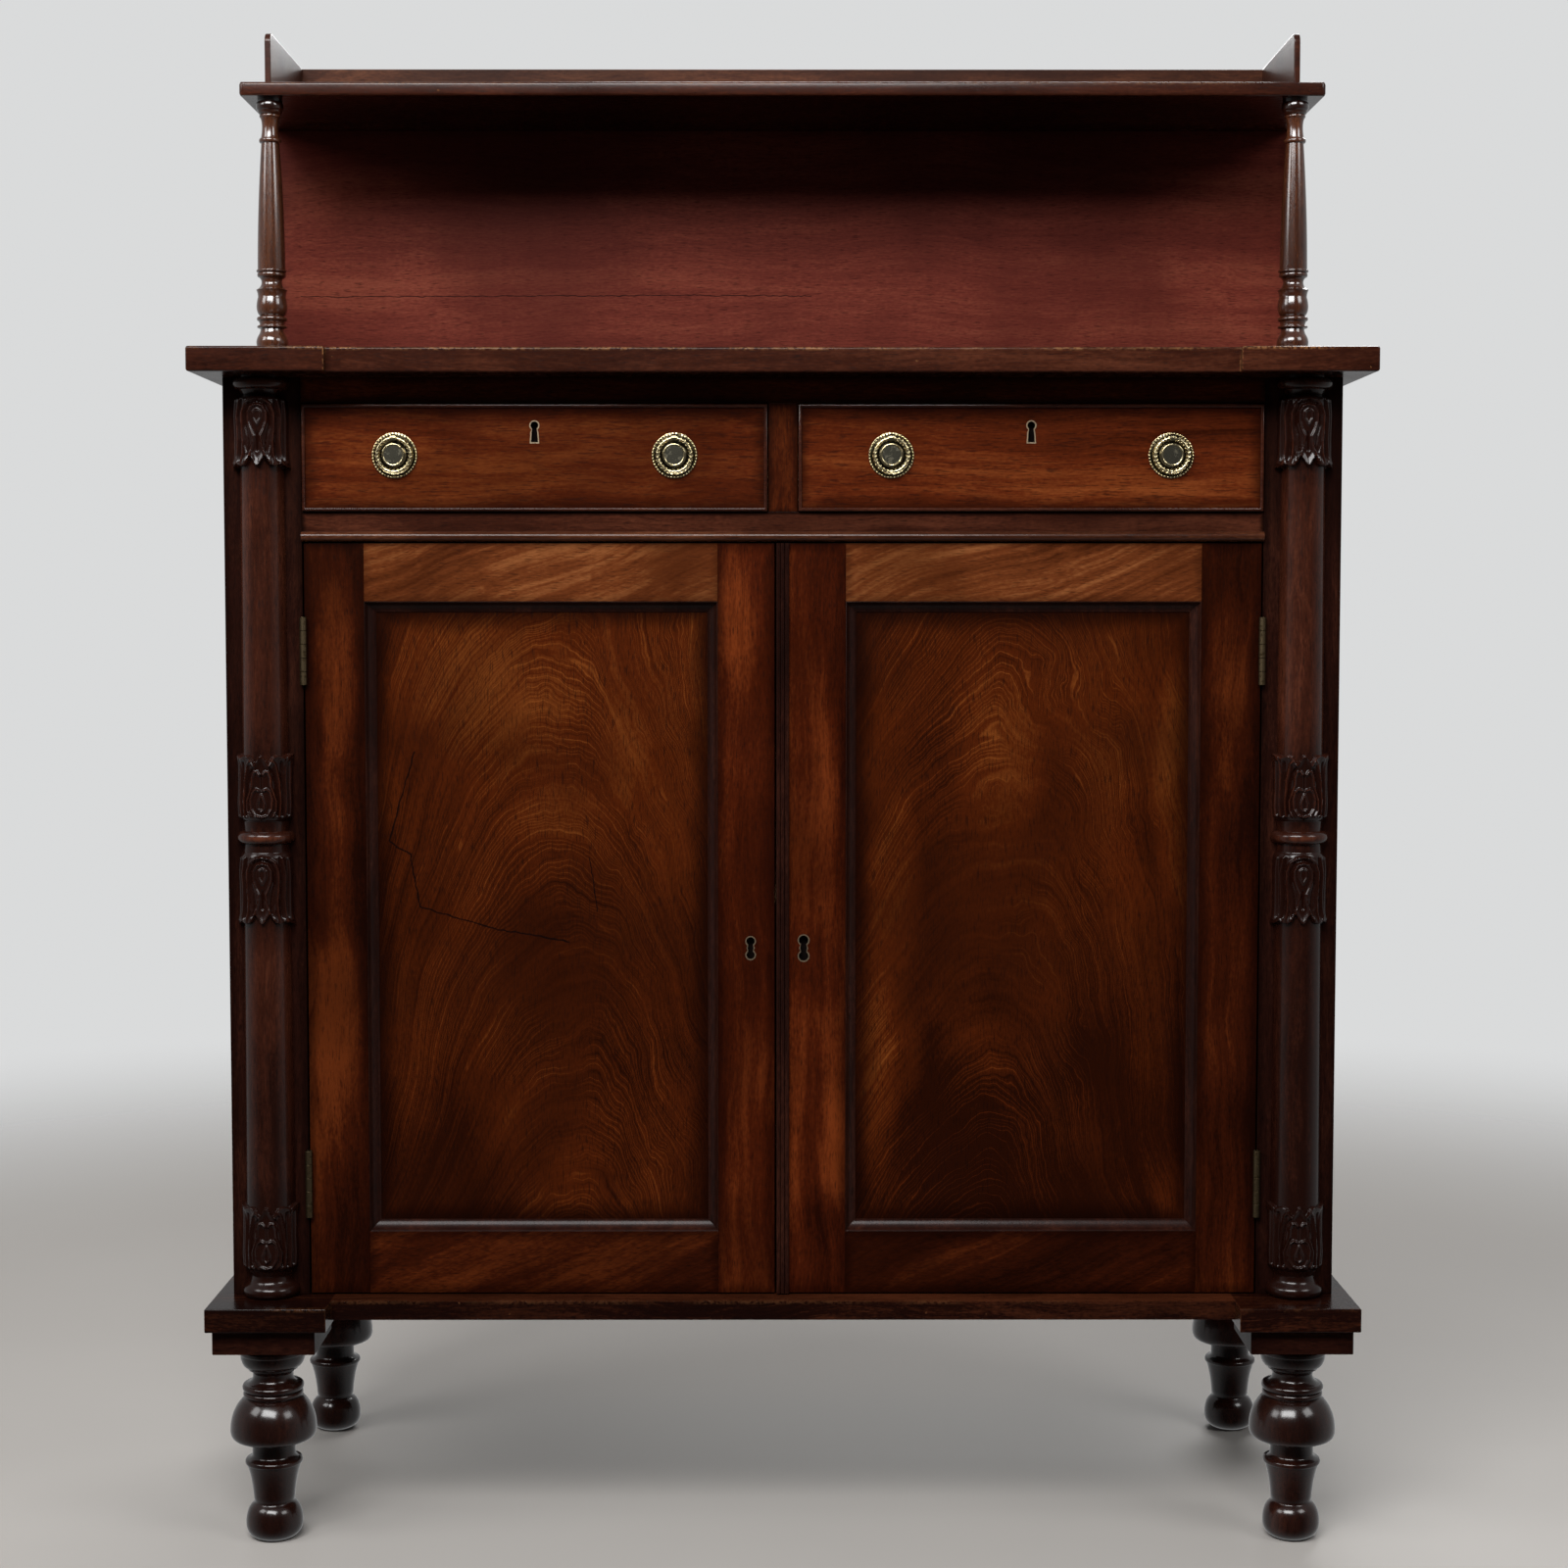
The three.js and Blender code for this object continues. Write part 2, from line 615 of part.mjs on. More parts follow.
// Three reeds side by side on a thin backing, down the edge of the right door.
function astragal() {
  const reed = astragalWidth / astragalReeds / 2;
  const left = meetingLine;
  const yReeds = yFace - astragalProud + reed;
  const outline = new THREE.Shape();
  outline.moveTo(left, yFace);
  for (let i = 0; i < astragalReeds; i += 1) {
    outline.absarc(left + reed * (2 * i + 1), yReeds, reed, Math.PI, 2 * Math.PI, false);
  }
  outline.lineTo(left + astragalWidth, yFace);
  return new THREE.ExtrudeGeometry(outline, {
    depth: zDoorTop - zDoor, bevelEnabled: false, curveSegments: reedSegments,
  }).translate(0, 0, zDoor);
}

function makeDoors(group) {
  const outer = xOpening - doorGap;
  door(group, 'left', [-outer, meetingLine - doorGap]);
  door(group, 'right', [meetingLine, outer]);
  place(group, 'astragal', astragal(), darkMahogany);
  place(group, 'door_lock_bolt', block(
    [meetingLine + boltGap, yBolt, zDoorBolt - doorBoltHeight / 2],
    [meetingLine + doorBoltLength, yBolt + boltThickness, zDoorBolt + doorBoltHeight / 2]), iron);
}

// A drawer front with a bead standing proud round its edge and a slot for the lock's bolt.
function drawerFront(xs, zs, centre) {
  const yRear = yField + drawerFrontThickness;
  const yBead = yFace - drawerBeadProud;
  const board = block([xs[0], yBead, zs[0]], [xs[1], yRear, zs[1]]);
  const field = block([xs[0] + drawerBeadWidth, yBead - overrun, zs[0] + drawerBeadWidth],
    [xs[1] - drawerBeadWidth, yField, zs[1] - drawerBeadWidth]);
  const half = drawerBoltWidth / 2 + boltGap;
  const slot = block([centre - half, yBolt - boltGap, zs[1] - drawerBoltHeight - 2 * boltGap],
    [centre + half, yBolt + boltThickness + boltGap, zs[1] + overrun]);
  return toGeometry(cut(board, field, slot));
}

function drawerBox(xs, low) {
  const yNear = yField + drawerFrontThickness;
  const yFar = yBackPanel - drawerBackGap;
  const high = low + drawerSideHeight;
  const floor = low + drawerBottomRise + drawerBottomThickness;
  const wall = drawerSideThickness;
  const inside = block([xs[0] + wall, yNear - overrun, floor],
    [xs[1] - wall, yFar - wall, high + overrun]);
  const under = block([xs[0] + wall, yNear - overrun, low - overrun],
    [xs[1] - wall, yFar - wall, low + drawerBottomRise]);
  return toGeometry(cut(block([xs[0], yNear, low], [xs[1], yFar, high]), inside, under));
}

// A pull's plate, as shares of its radius and thickness, and its boss, as shares of its own.
const plateShares = [
  [1, 0], [1, 0.5], [0.95, 0.9], [0.88, 1], [0.84, 0.55], [0.58, 0.55], [0.47, 0.8],
];
const bossShares = [[0.95, 0.2], [0.93, 0.72], [1, 0.9], [0.95, 1], [0.82, 0.96], [0.6, 0.85]];
const eyeSeatShare = 0.25;

// The plate of a ring pull, with its dished boss and the eye that the ring hangs in.
function pullPlate(x, z) {
  const boss = bossShares.map(([across, up]) => [across * pullBossRadius / pullPlateRadius,
    1 + up * pullBossProud / pullPlateThickness]);
  const plate = turned([...plateShares, ...boss], pullPlateRadius, pullPlateThickness,
    pullSegments).rotateX(Math.PI / 2).translate(x, yField, z);
  const eye = [x, yRing, z + pullRingRadius];
  const barrel = new THREE.CylinderGeometry(pullEyeRadius, pullEyeRadius, pullEyeWidth,
    pullSegments / 2).rotateZ(Math.PI / 2).translate(...eye);
  const stem = block([x - pullEyeWidth / 2, yRing, z + pullRingRadius - pullEyeRadius],
    [x + pullEyeWidth / 2, yField - pullPlateThickness * eyeSeatShare, z + pullRingRadius + pullEyeRadius]);
  const bore = new THREE.CylinderGeometry(pullEyeBore, pullEyeBore, pullEyeWidth + 2 * overrun,
    pullSegments / 2).rotateZ(Math.PI / 2).translate(...eye);
  return toGeometry(join(plate, barrel, stem).subtract(toSolid(bore)));
}

function makeDrawers(group) {
  for (const [hand, side] of Object.entries(mirror)) {
    const xs = [side * (xMuntin + drawerGap), side * (xOpening - drawerGap)].sort((a, b) => a - b);
    const zs = [zDrawer + seatGap, zDrawerTop - drawerGap];
    const centre = side * xDrawer;
    place(group, `drawer_front_${hand}`, drawerFront(xs, zs, centre), flameMahogany);
    place(group, `drawer_box_${hand}`, drawerBox(xs, zs[0]), pine);
    place(group, `drawer_lock_bolt_${hand}`, block(
      [centre - drawerBoltWidth / 2, yBolt, zs[1] - boltGap - drawerBoltHeight],
      [centre + drawerBoltWidth / 2, yBolt + boltThickness, zs[1] - boltGap]), iron);
    const pullXs = { outer: side * (xOpening - drawerGap - pullInset),
      inner: side * (xMuntin + drawerGap + pullInset) };
    for (const [end, x] of Object.entries(pullXs)) {
      const z = zDrawer + pullRise;
      place(group, `pull_plate_${hand}_${end}`, pullPlate(x, z), brass);
      place(group, `pull_ring_${hand}_${end}`, weld(new THREE.TorusGeometry(pullRingRadius,
        pullTubeRadius, pullTubeSegments, pullRingSegments).rotateX(Math.PI / 2)), brass,
      [x, yRing, z]);
    }
  }
}

const chiffonier = new THREE.Group();
const makers = [makeFeet, makeBase, makeCarcase, makeColumns, makeTop, makeShelf, makeHinges,
  makeDoors, makeDrawers];
for (const make of makers) {
  const assembly = new THREE.Group();
  make(assembly);
  chiffonier.add(assembly);
}

export default chiffonier;
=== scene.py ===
"""Dresses a mahogany chiffonier for rendering.

The packed model gives every piece its place. This script puts finished timber, carving, mouldings
and brass over it, lights it in a plain pale studio and looks at it from the photograph's angle.
Sizes are in metres, apart from the outlines of turned and carved work, which are drawn in
millimetres. X runs to the right, Y to the back and Z up.
"""

import json
import logging
import math
from dataclasses import dataclass
from enum import Enum
from typing import Any, Callable, Iterable, Sequence

import bmesh
import bpy
import numpy as np
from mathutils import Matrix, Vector

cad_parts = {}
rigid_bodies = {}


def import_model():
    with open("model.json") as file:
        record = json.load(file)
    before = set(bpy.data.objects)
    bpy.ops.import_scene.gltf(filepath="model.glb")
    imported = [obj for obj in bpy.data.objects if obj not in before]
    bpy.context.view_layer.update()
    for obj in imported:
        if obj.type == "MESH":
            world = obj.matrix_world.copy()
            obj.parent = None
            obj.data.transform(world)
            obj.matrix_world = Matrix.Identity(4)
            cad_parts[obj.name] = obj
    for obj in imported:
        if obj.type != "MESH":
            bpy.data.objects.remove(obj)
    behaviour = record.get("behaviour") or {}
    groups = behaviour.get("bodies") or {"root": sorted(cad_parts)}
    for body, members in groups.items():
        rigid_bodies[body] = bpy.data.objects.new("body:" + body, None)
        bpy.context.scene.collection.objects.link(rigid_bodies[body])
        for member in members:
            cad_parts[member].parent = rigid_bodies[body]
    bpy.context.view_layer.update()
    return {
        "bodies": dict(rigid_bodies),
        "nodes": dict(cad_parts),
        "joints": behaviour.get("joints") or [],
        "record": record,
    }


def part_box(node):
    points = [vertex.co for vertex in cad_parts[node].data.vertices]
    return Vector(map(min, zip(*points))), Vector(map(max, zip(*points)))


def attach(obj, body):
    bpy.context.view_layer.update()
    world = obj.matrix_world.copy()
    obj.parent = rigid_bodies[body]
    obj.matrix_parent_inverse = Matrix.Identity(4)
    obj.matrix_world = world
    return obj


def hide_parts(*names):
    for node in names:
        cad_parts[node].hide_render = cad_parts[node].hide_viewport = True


Colour = tuple[float, float, float]
Point = tuple[float, float, float]
Pair = tuple[float, float]
Line = tuple[Pair, ...]
Piece = bpy.types.Object
Socket = bpy.types.NodeSocket
Material = bpy.types.Material
MeshBench = bmesh.types.BMesh

MM = 0.001
ORIGIN: Point = (0.0, 0.0, 0.0)
# The angle in degrees up to which neighbouring faces are shaded as one.
SMOOTH_TO = 35.0

log = logging.getLogger("chiffonier")


class Side(Enum):
    """The two hands of the piece, by the sign of their X."""

    LEFT = -1
    RIGHT = 1

    @property
    def word(self) -> str:
        """The name that the nodes use."""
        return self.name.lower()


class Run(Enum):
    """The way that a board's grain runs, by its axis."""

    WIDTH = 0
    DEPTH = 1
    HEIGHT = 2

    def stretch(self, along: float, across: float) -> Point:
        """Scales for noise that is drawn out along the grain."""
        scale = [across] * 3
        scale[self.value] = along
        return tuple(scale)


class NodeBench:
    """Adds and links the nodes of one tree."""

    def __init__(self, tree: bpy.types.NodeTree) -> None:
        """Keeps the tree.

        Args:
            tree: The node tree to build in.
        """
        self.tree = tree

    def node(self, kind: str, settings: dict[str, Any] | None = None,
             inputs: dict[Any, Any] | None = None) -> bpy.types.Node:
        """Adds one node.

        Args:
            kind: The node's type.
            settings: Its settings, set first. The key stops holds a ramp's stops.
            inputs: The values or links of its sockets, by name or number.

        Returns:
            The new node.
        """
        made = self.tree.nodes.new(kind)
        for key, value in (settings or {}).items():
            if key == "stops":
                self._set_stops(made, value)
            else:
                setattr(made, key, value)
        for key, value in (inputs or {}).items():
            self.feed(made.inputs[key], value)
        return made

    def feed(self, socket: Socket, value: Any) -> None:
        """Links a socket to another, or sets its value.

        Args:
            socket: The input to set.
            value: A Value, an output socket or a plain value.
        """
        source = value.socket if isinstance(value, Value) else value
        if isinstance(source, Socket):
            self.tree.links.new(source, socket)
        else:
            socket.default_value = source

    @staticmethod
    def _set_stops(ramp: bpy.types.Node, stops: Sequence[tuple[float, Colour]]) -> None:
        """Sets the stops of a colour ramp.

        Args:
            ramp: The ramp node.
            stops: Each stop's position and colour.
        """
        elements = ramp.color_ramp.elements
        while len(elements) < len(stops):
            elements.new(0.5)
        for element, (position, colour) in zip(elements, stops):
            element.position = position
            element.color = (*colour, 1.0)


def math_node(operation: str, swapped: bool = False) -> Callable[..., "Value"]:
    """An operator that adds one kind of Math node.

    Args:
        operation: The node's operation.
        swapped: Whether the value is the operator's second term.

    Returns:
        The operator, for the class that holds it.
    """
    def combine(value: "Value", *others: Any) -> "Value":
        """Adds the node."""
        terms = (*others, value) if swapped else (value, *others)
        made = value.bench.node("ShaderNodeMath", {"operation": operation},
                                dict(enumerate(terms)))
        return Value(value.bench, made.outputs[0])

    return combine


class Value:
    """A number in a shader, on which Python's operators add Math nodes."""

    __add__, __radd__ = math_node("ADD"), math_node("ADD", True)
    __sub__, __rsub__ = math_node("SUBTRACT"), math_node("SUBTRACT", True)
    __mul__, __rmul__ = math_node("MULTIPLY"), math_node("MULTIPLY", True)
    __truediv__, __pow__ = math_node("DIVIDE"), math_node("POWER")
    __abs__ = math_node("ABSOLUTE")
    least, most = math_node("MINIMUM"), math_node("MAXIMUM")
    fraction, root = math_node("FRACT"), math_node("SQRT")

    def __init__(self, bench: "Graph", socket: Socket) -> None:
        """Wraps an output socket.

        Args:
            bench: The graph that the socket is in.
            socket: The output socket.
        """
        self.bench = bench
        self.socket = socket

    def rise(self, low: float, high: float) -> "Value":
        """Goes smoothly from 0 to 1 between two values.

        Args:
            low: Where the rise starts.
            high: Where it ends, which may be below the start.

        Returns:
            The risen value, from 0 to 1.
        """
        bounds = {"Value": self, "From Min": low, "From Max": high}
        made = self.bench.node("ShaderNodeMapRange", {"interpolation_type": "SMOOTHSTEP"}, bounds)
        return Value(self.bench, made.outputs[0])


class Graph(NodeBench):
    """A material's shader, with the textures that its finishes share."""

    def __init__(self, name: str, shift: Point = ORIGIN) -> None:
        """Starts an empty material with a Principled shader.

        Args:
            name: The material's name.
            shift: Where in the timber the piece was cut.
        """
        self.material = bpy.data.materials.new(name)
        self.material.use_nodes = True
        super().__init__(self.material.node_tree)
        self.shift = shift
        self.tree.nodes.clear()
        self.shader = self.node("ShaderNodeBsdfPrincipled")
        output = self.node("ShaderNodeOutputMaterial")
        self.tree.links.new(self.shader.outputs[0], output.inputs["Surface"])
        self.place = self.node("ShaderNodeTexCoord").outputs["Object"]
        parts = self.node("ShaderNodeSeparateXYZ", None, {0: self.place})
        self.x, self.y, self.z = (Value(self, socket) for socket in parts.outputs)

    def mapped(self, scale: Point, turn: Point = ORIGIN, shift: Point = ORIGIN,
               source: Any = None) -> Socket:
        """Moves, turns and stretches the coordinates.

        Args:
            scale: The stretch on each axis.
            turn: The turn about each axis.
            shift: The move along each axis.
            source: The coordinates to start from, or the object's own.

        Returns:
            The new coordinates.
        """
        turned_first = self.node("ShaderNodeMapping", {"vector_type": "POINT"}, {
            "Vector": source or self.place, "Location": shift, "Rotation": turn})
        made = self.node("ShaderNodeMapping", {"vector_type": "POINT"}, {
            "Vector": turned_first.outputs[0], "Scale": scale})
        return made.outputs[0]

    def noise(self, vector: Any, detail: float = 3.0, distortion: float = 0.0) -> Value:
        """Cloudy noise, from 0 to 1 about a half.

        Args:
            vector: The coordinates.
            detail: The number of finer layers.
            distortion: How far the clouds are twisted.

        Returns:
            The noise.
        """
        made = self.node("ShaderNodeTexNoise", None, {
            "Vector": vector, "Scale": 1.0, "Detail": detail, "Distortion": distortion})
        return Value(self, made.outputs["Fac"])

    def cloud(self, scale: float | Point, detail: float = 3.0,
              shift: Point | None = None) -> Value:
        """Cloudy noise at the piece's own place in the timber.

        Args:
            scale: The number of clouds a metre, on every axis or on each.
            detail: The number of finer layers.
            shift: Another place in the timber.

        Returns:
            The noise.
        """
        spread = scale if isinstance(scale, tuple) else (scale,) * 3
        return self.noise(self.mapped(spread, shift=shift or self.shift), detail)

    def combined(self, x: Any, y: Any, z: Any) -> Socket:
        """Puts three numbers together as coordinates."""
        return self.node("ShaderNodeCombineXYZ", None, {0: x, 1: y, 2: z}).outputs[0]

    def ramp(self, value: Value, stops: Sequence[tuple[float, Colour]]) -> Socket:
        """Turns a number into a colour."""
        return self.node("ShaderNodeValToRGB", {"stops": stops}, {0: value}).outputs[0]

    def blend(self, factor: Any, under: Any, over: Any) -> Socket:
        """Lays one colour over another.

        Args:
            factor: How much of the upper colour shows.
            under: The lower colour or its socket.
            over: The upper colour or its socket.

        Returns:
            The mixed colour.
        """
        under, over = ((*paint, 1.0) if isinstance(paint, tuple) else paint
                       for paint in (under, over))
        made = self.node("ShaderNodeMix", {"data_type": "RGBA", "blend_type": "MIX"},
                         {0: factor, 6: under, 7: over})
        return made.outputs[2]

    def paint(self, colour: Any, roughness: Any) -> None:
        """Feeds the shader's colour and roughness."""
        self.feed(self.shader.inputs["Base Color"], colour)
        self.feed(self.shader.inputs["Roughness"], roughness)

    def relief(self, height: Value, depth: float, strength: float) -> None:
        """Feeds a height to the shader's normal.

        Args:
            height: The height, from 0 to 1.
            depth: What a height of 1 stands for, in metres.
            strength: How strongly it shows.
        """
        bump = self.node("ShaderNodeBump", None, {
            "Height": height, "Distance": depth, "Strength": strength})
        self.feed(self.shader.inputs["Normal"], bump.outputs[0])

    def settings(self, **values: float) -> None:
        """Sets plain numbers on the shader, by socket name with _ for a space."""
        for name, value in values.items():
            self.shader.inputs[name.replace("_", " ")].default_value = value


def shaded(colour: Colour, share: float) -> Colour:
    """A colour made darker, to a share of its light."""
    return tuple(channel * share for channel in colour)


@dataclass(frozen=True)
class Crack:
    """A hairline split in a board, as points on its face in X and Z."""

    points: Line
    width: float = 0.55 * MM

    def mask(self, graph: Graph) -> Value:
        """Marks the split.

        Args:
            graph: The material's graph.

        Returns:
            1 on the split and 0 away from it.
        """
        wander = (graph.cloud(90.0, 2.0, ORIGIN) - 0.5) * 4 * MM
        x = graph.x + wander
        z = graph.z + wander
        nearest: Value | None = None
        for (x0, z0), (x1, z1) in zip(self.points, self.points[1:]):
            length = math.hypot(x1 - x0, z1 - z0)
            along_x, along_z = (x1 - x0) / length, (z1 - z0) / length
            along = (x - x0) * along_x + (z - z0) * along_z
            held = along.most(0.0).least(length)
            gap_x = x - (held * along_x + x0)
            gap_z = z - (held * along_z + z0)
            distance = (gap_x * gap_x + gap_z * gap_z).root()
            nearest = distance if nearest is None else nearest.least(distance)
        return nearest.rise(self.width * 1.8, self.width * 0.6)


@dataclass(frozen=True)
class Glow:
    """An oval place on a board's face that is painted lighter, or darker below 0: the wood's
    figure on the door panels and stiles, painted shade on the column's foot and the spindles'
    ends.
    """

    x: float
    z: float
    wide: float
    high: float
    strength: float

    def lift(self, graph: Graph, uneven: Value) -> Value:
        """How much lighter the place is painted.

        Args:
            graph: The material's graph.
            uneven: Noise about 0, which frays the oval's edge.

        Returns:
            The change of the pattern.
        """
        across, up = (graph.x - self.x) / self.wide, (graph.z - self.z) / self.high
        return (across * across + up * up + uneven).rise(1.0, 0.0) * self.strength


@dataclass(frozen=True)
class Mahogany:
    """Polished mahogany, by its colours and the way its grain runs."""

    dark: Colour
    body: Colour
    light: Colour
    run: Run = Run.WIDTH
    lean: float = 0.0
    patch: float = 0.5
    streak: float = 0.5
    fleck: float = 0.4
    roughness: float = 0.34
    coat: float = 0.02
    gloss: float = 0.03
    # How dark the edges are painted: old polish together with painted shade.
    edge_dark: float = 0.55
    edge_width: float = 14 * MM
    cracks: tuple[Crack, ...] = ()
    glows: tuple[Glow, ...] = ()
    split_black: Colour = (0.002, 0.001, 0.001)

    def _bands(self, graph: Graph) -> Value:
        """The broad and narrow stripes of straight grain.

        Args:
            graph: The material's graph.

        Returns:
            The stripes, from 0 to 1.
        """
        turn = (0.0, math.radians(self.lean), 0.0)
        waver = graph.node("ShaderNodeTexNoise", None, {
            "Vector": graph.mapped((5.0, 5.0, 5.0), turn, graph.shift), "Scale": 1.0,
            "Detail": 2.0})
        bent = graph.node("ShaderNodeVectorMath", {"operation": "MULTIPLY_ADD"}, {
            0: waver.outputs["Color"], 1: (0.05, 0.05, 0.05), 2: graph.place}).outputs[0]
        broad, narrow, fibre = (
            graph.noise(graph.mapped(self.run.stretch(*scale), turn, graph.shift, bent), detail)
            for scale, detail in (((2.2, 26.0), 3.0), ((7.0, 190.0), 3.0), ((24.0, 900.0), 2.0)))
        return (broad - 0.5) * self.patch * 1.6 + (narrow - 0.5) * self.streak \
            + (fibre - 0.5) * 0.35 + 0.5

    def _pattern(self, graph: Graph) -> Value:
        """The figure of the wood, which other timbers override."""
        return self._bands(graph)

    def _worn(self, graph: Graph, colour: Any) -> Any:
        """Lays bare wood and painted highlights over the polish, which only boards with polish
        gone through do.
        """
        return colour

    def _grime(self, graph: Graph, low: Vector, high: Vector) -> Value:
        """Old polish gathered along a board's edges, with painted shade there, seen from the
        front.

        Args:
            graph: The material's graph.
            low: The board's lowest corner.
            high: Its highest corner.

        Returns:
            1 at the edges and 0 inside.
        """
        inset = (graph.x - low.x).least(high.x - graph.x)
        inset = inset.least(graph.z - low.z).least(high.z - graph.z)
        uneven = graph.cloud(22.0, 3.0, ORIGIN) * 1.6 + 0.2
        return (inset / uneven).rise(self.edge_width, 0.0)

    def dress(self, name: str, seed: int, box: tuple[Vector, Vector] | None = None) -> Material:
        """Makes the material of one board.

        Args:
            name: The material's name.
            seed: Which part of the timber the board was cut from.
            box: The board's lowest and highest corner, where its edges are grimy and carry
                painted shade.

        Returns:
            The material.
        """
        graph = Graph(name, (seed * 1.37, seed * 0.71, seed * 2.13))
        fleck = graph.cloud(self.run.stretch(210.0, 560.0), 2.0)
        pattern = self._pattern(graph) + (fleck - 0.5) * self.fleck
        uneven = (graph.cloud((9.0, 9.0, 5.0)) - 0.5) * 2.4
        for glow in self.glows:
            pattern = pattern + glow.lift(graph, uneven)
        colour = graph.ramp(pattern, [
            (0.12, self.dark), (0.5, self.body), (0.86, self.light)])
        pore = graph.cloud(self.run.stretch(80.0, 1000.0), 2.0)
        pores = pore.rise(0.55, 0.68)
        colour = graph.blend(pores * 0.6, colour, shaded(self.dark, 0.4))
        stain = graph.cloud(6.0, 4.0)
        colour = graph.blend(stain.rise(0.6, 0.32) * 0.55, colour, self.dark)
        # Darker edges: old polish, and painted shade where neighbouring parts shade the board.
        if box is not None and self.edge_dark > 0:
            colour = graph.blend(self._grime(graph, *box) * self.edge_dark, colour,
                                 shaded(self.dark, 0.3))
        for crack in self.cracks:
            colour = graph.blend(crack.mask(graph) * 0.9, colour, self.split_black)
        smear = graph.cloud(14.0, 4.0)
        graph.paint(self._worn(graph, colour),
                    smear * 0.16 + (self.roughness - 0.08) + pores * 0.12)
        graph.settings(Coat_Weight=self.coat, Coat_Roughness=0.16, IOR=1.48,
                       Specular_IOR_Level=self.gloss)
        graph.relief(pore * 0.5 + pattern * 0.5, 0.12 * MM, 0.5)
        return graph.material


@dataclass(frozen=True)
class Flame(Mahogany):
    """Veneer cut from a crotch, whose grain arches up the middle of the panel."""

    spine: float = 0.0
    crown: float = 0.8
    steep_left: float = 9.0
    steep_right: float = 15.0
    drift: float = 0.0
    swirls: tuple[tuple[float, float, float, float], ...] = ()

    def _pattern(self, graph: Graph) -> Value:
        """Nested round arches, bent by slow noise and drawn with thin lines.

        Args:
            graph: The material's graph.

        Returns:
            The figure, from 0 to 1.
        """
        slow = graph.cloud((5.0, 5.0, 3.6), 2.0) - 0.5
        quick = graph.cloud((17.0, 17.0, 11.0)) - 0.5
        fine = graph.cloud((60.0, 60.0, 34.0), 2.0) - 0.5
        away = graph.x - self.spine + (graph.z - self.crown) * self.drift + slow * 0.1 \
            + quick * 0.02
        bow = away.most(0.0) ** 2.0 * self.steep_right + (-1.0 * away).most(0.0) ** 2.0 \
            * self.steep_left
        arch = graph.z + bow + slow * 0.07 + quick * 0.055 + fine * 0.006
        for x, z, radius, lift in self.swirls:
            across, up = (graph.x - x) / radius, (graph.z - z) / radius
            arch = arch + (1.0 - across * across - up * up + quick).most(0.0) ** 2.0 * lift
        broad = graph.noise(graph.combined(arch * 14.0, away * 5.0, graph.shift[0]), 2.0)
        narrow = graph.noise(graph.combined(arch * 110.0, away * 10.0, graph.shift[1]))
        rings = graph.noise(graph.combined(arch * 30.0, away * 3.0, graph.shift[2]), 2.0)
        phase = (arch * 165.0 + rings * 9.0).fraction()
        shown = graph.cloud((13.0, 13.0, 9.0), 2.0).rise(0.33, 0.55)
        patches = graph.cloud((9.0, 9.0, 5.0))
        return (broad - 0.5) * 0.42 + (narrow - 0.5) * 0.42 + (patches - 0.5) * 0.72 \
            - abs(phase - 0.5).rise(0.15, 0.0) * shown * 0.15 \
            + abs(phase - 0.5).rise(0.4, 0.5) * shown * 0.3 + 0.33


@dataclass(frozen=True)
class CarvedMahogany(Mahogany):
    """Carved mahogany, black in its hollows with old polish and painted shade, and light on its
    ridges with rubbing and painted highlights, by an attribute of the mesh.
    """

    def _pattern(self, graph: Graph) -> Value:
        """Straight grain, darkened in the carving's hollows with painted shade and lightened on
        its ridges with rubbing and painted highlights.

        Args:
            graph: The material's graph.

        Returns:
            The figure, from 0 to 1.
        """
        wear = Value(graph, graph.node("ShaderNodeAttribute", {"attribute_name": "wear"})
                     .outputs["Fac"])
        # Ridges lighter with rubbing and painted highlights; hollows darker with painted shade.
        rubbed_and_painted_light = (wear - 0.5).most(0.0) * graph.cloud(70.0).rise(0.35, 0.6) * 1.3
        return self._bands(graph) + (wear - 0.5).least(0.0) * 1.5 + rubbed_and_painted_light


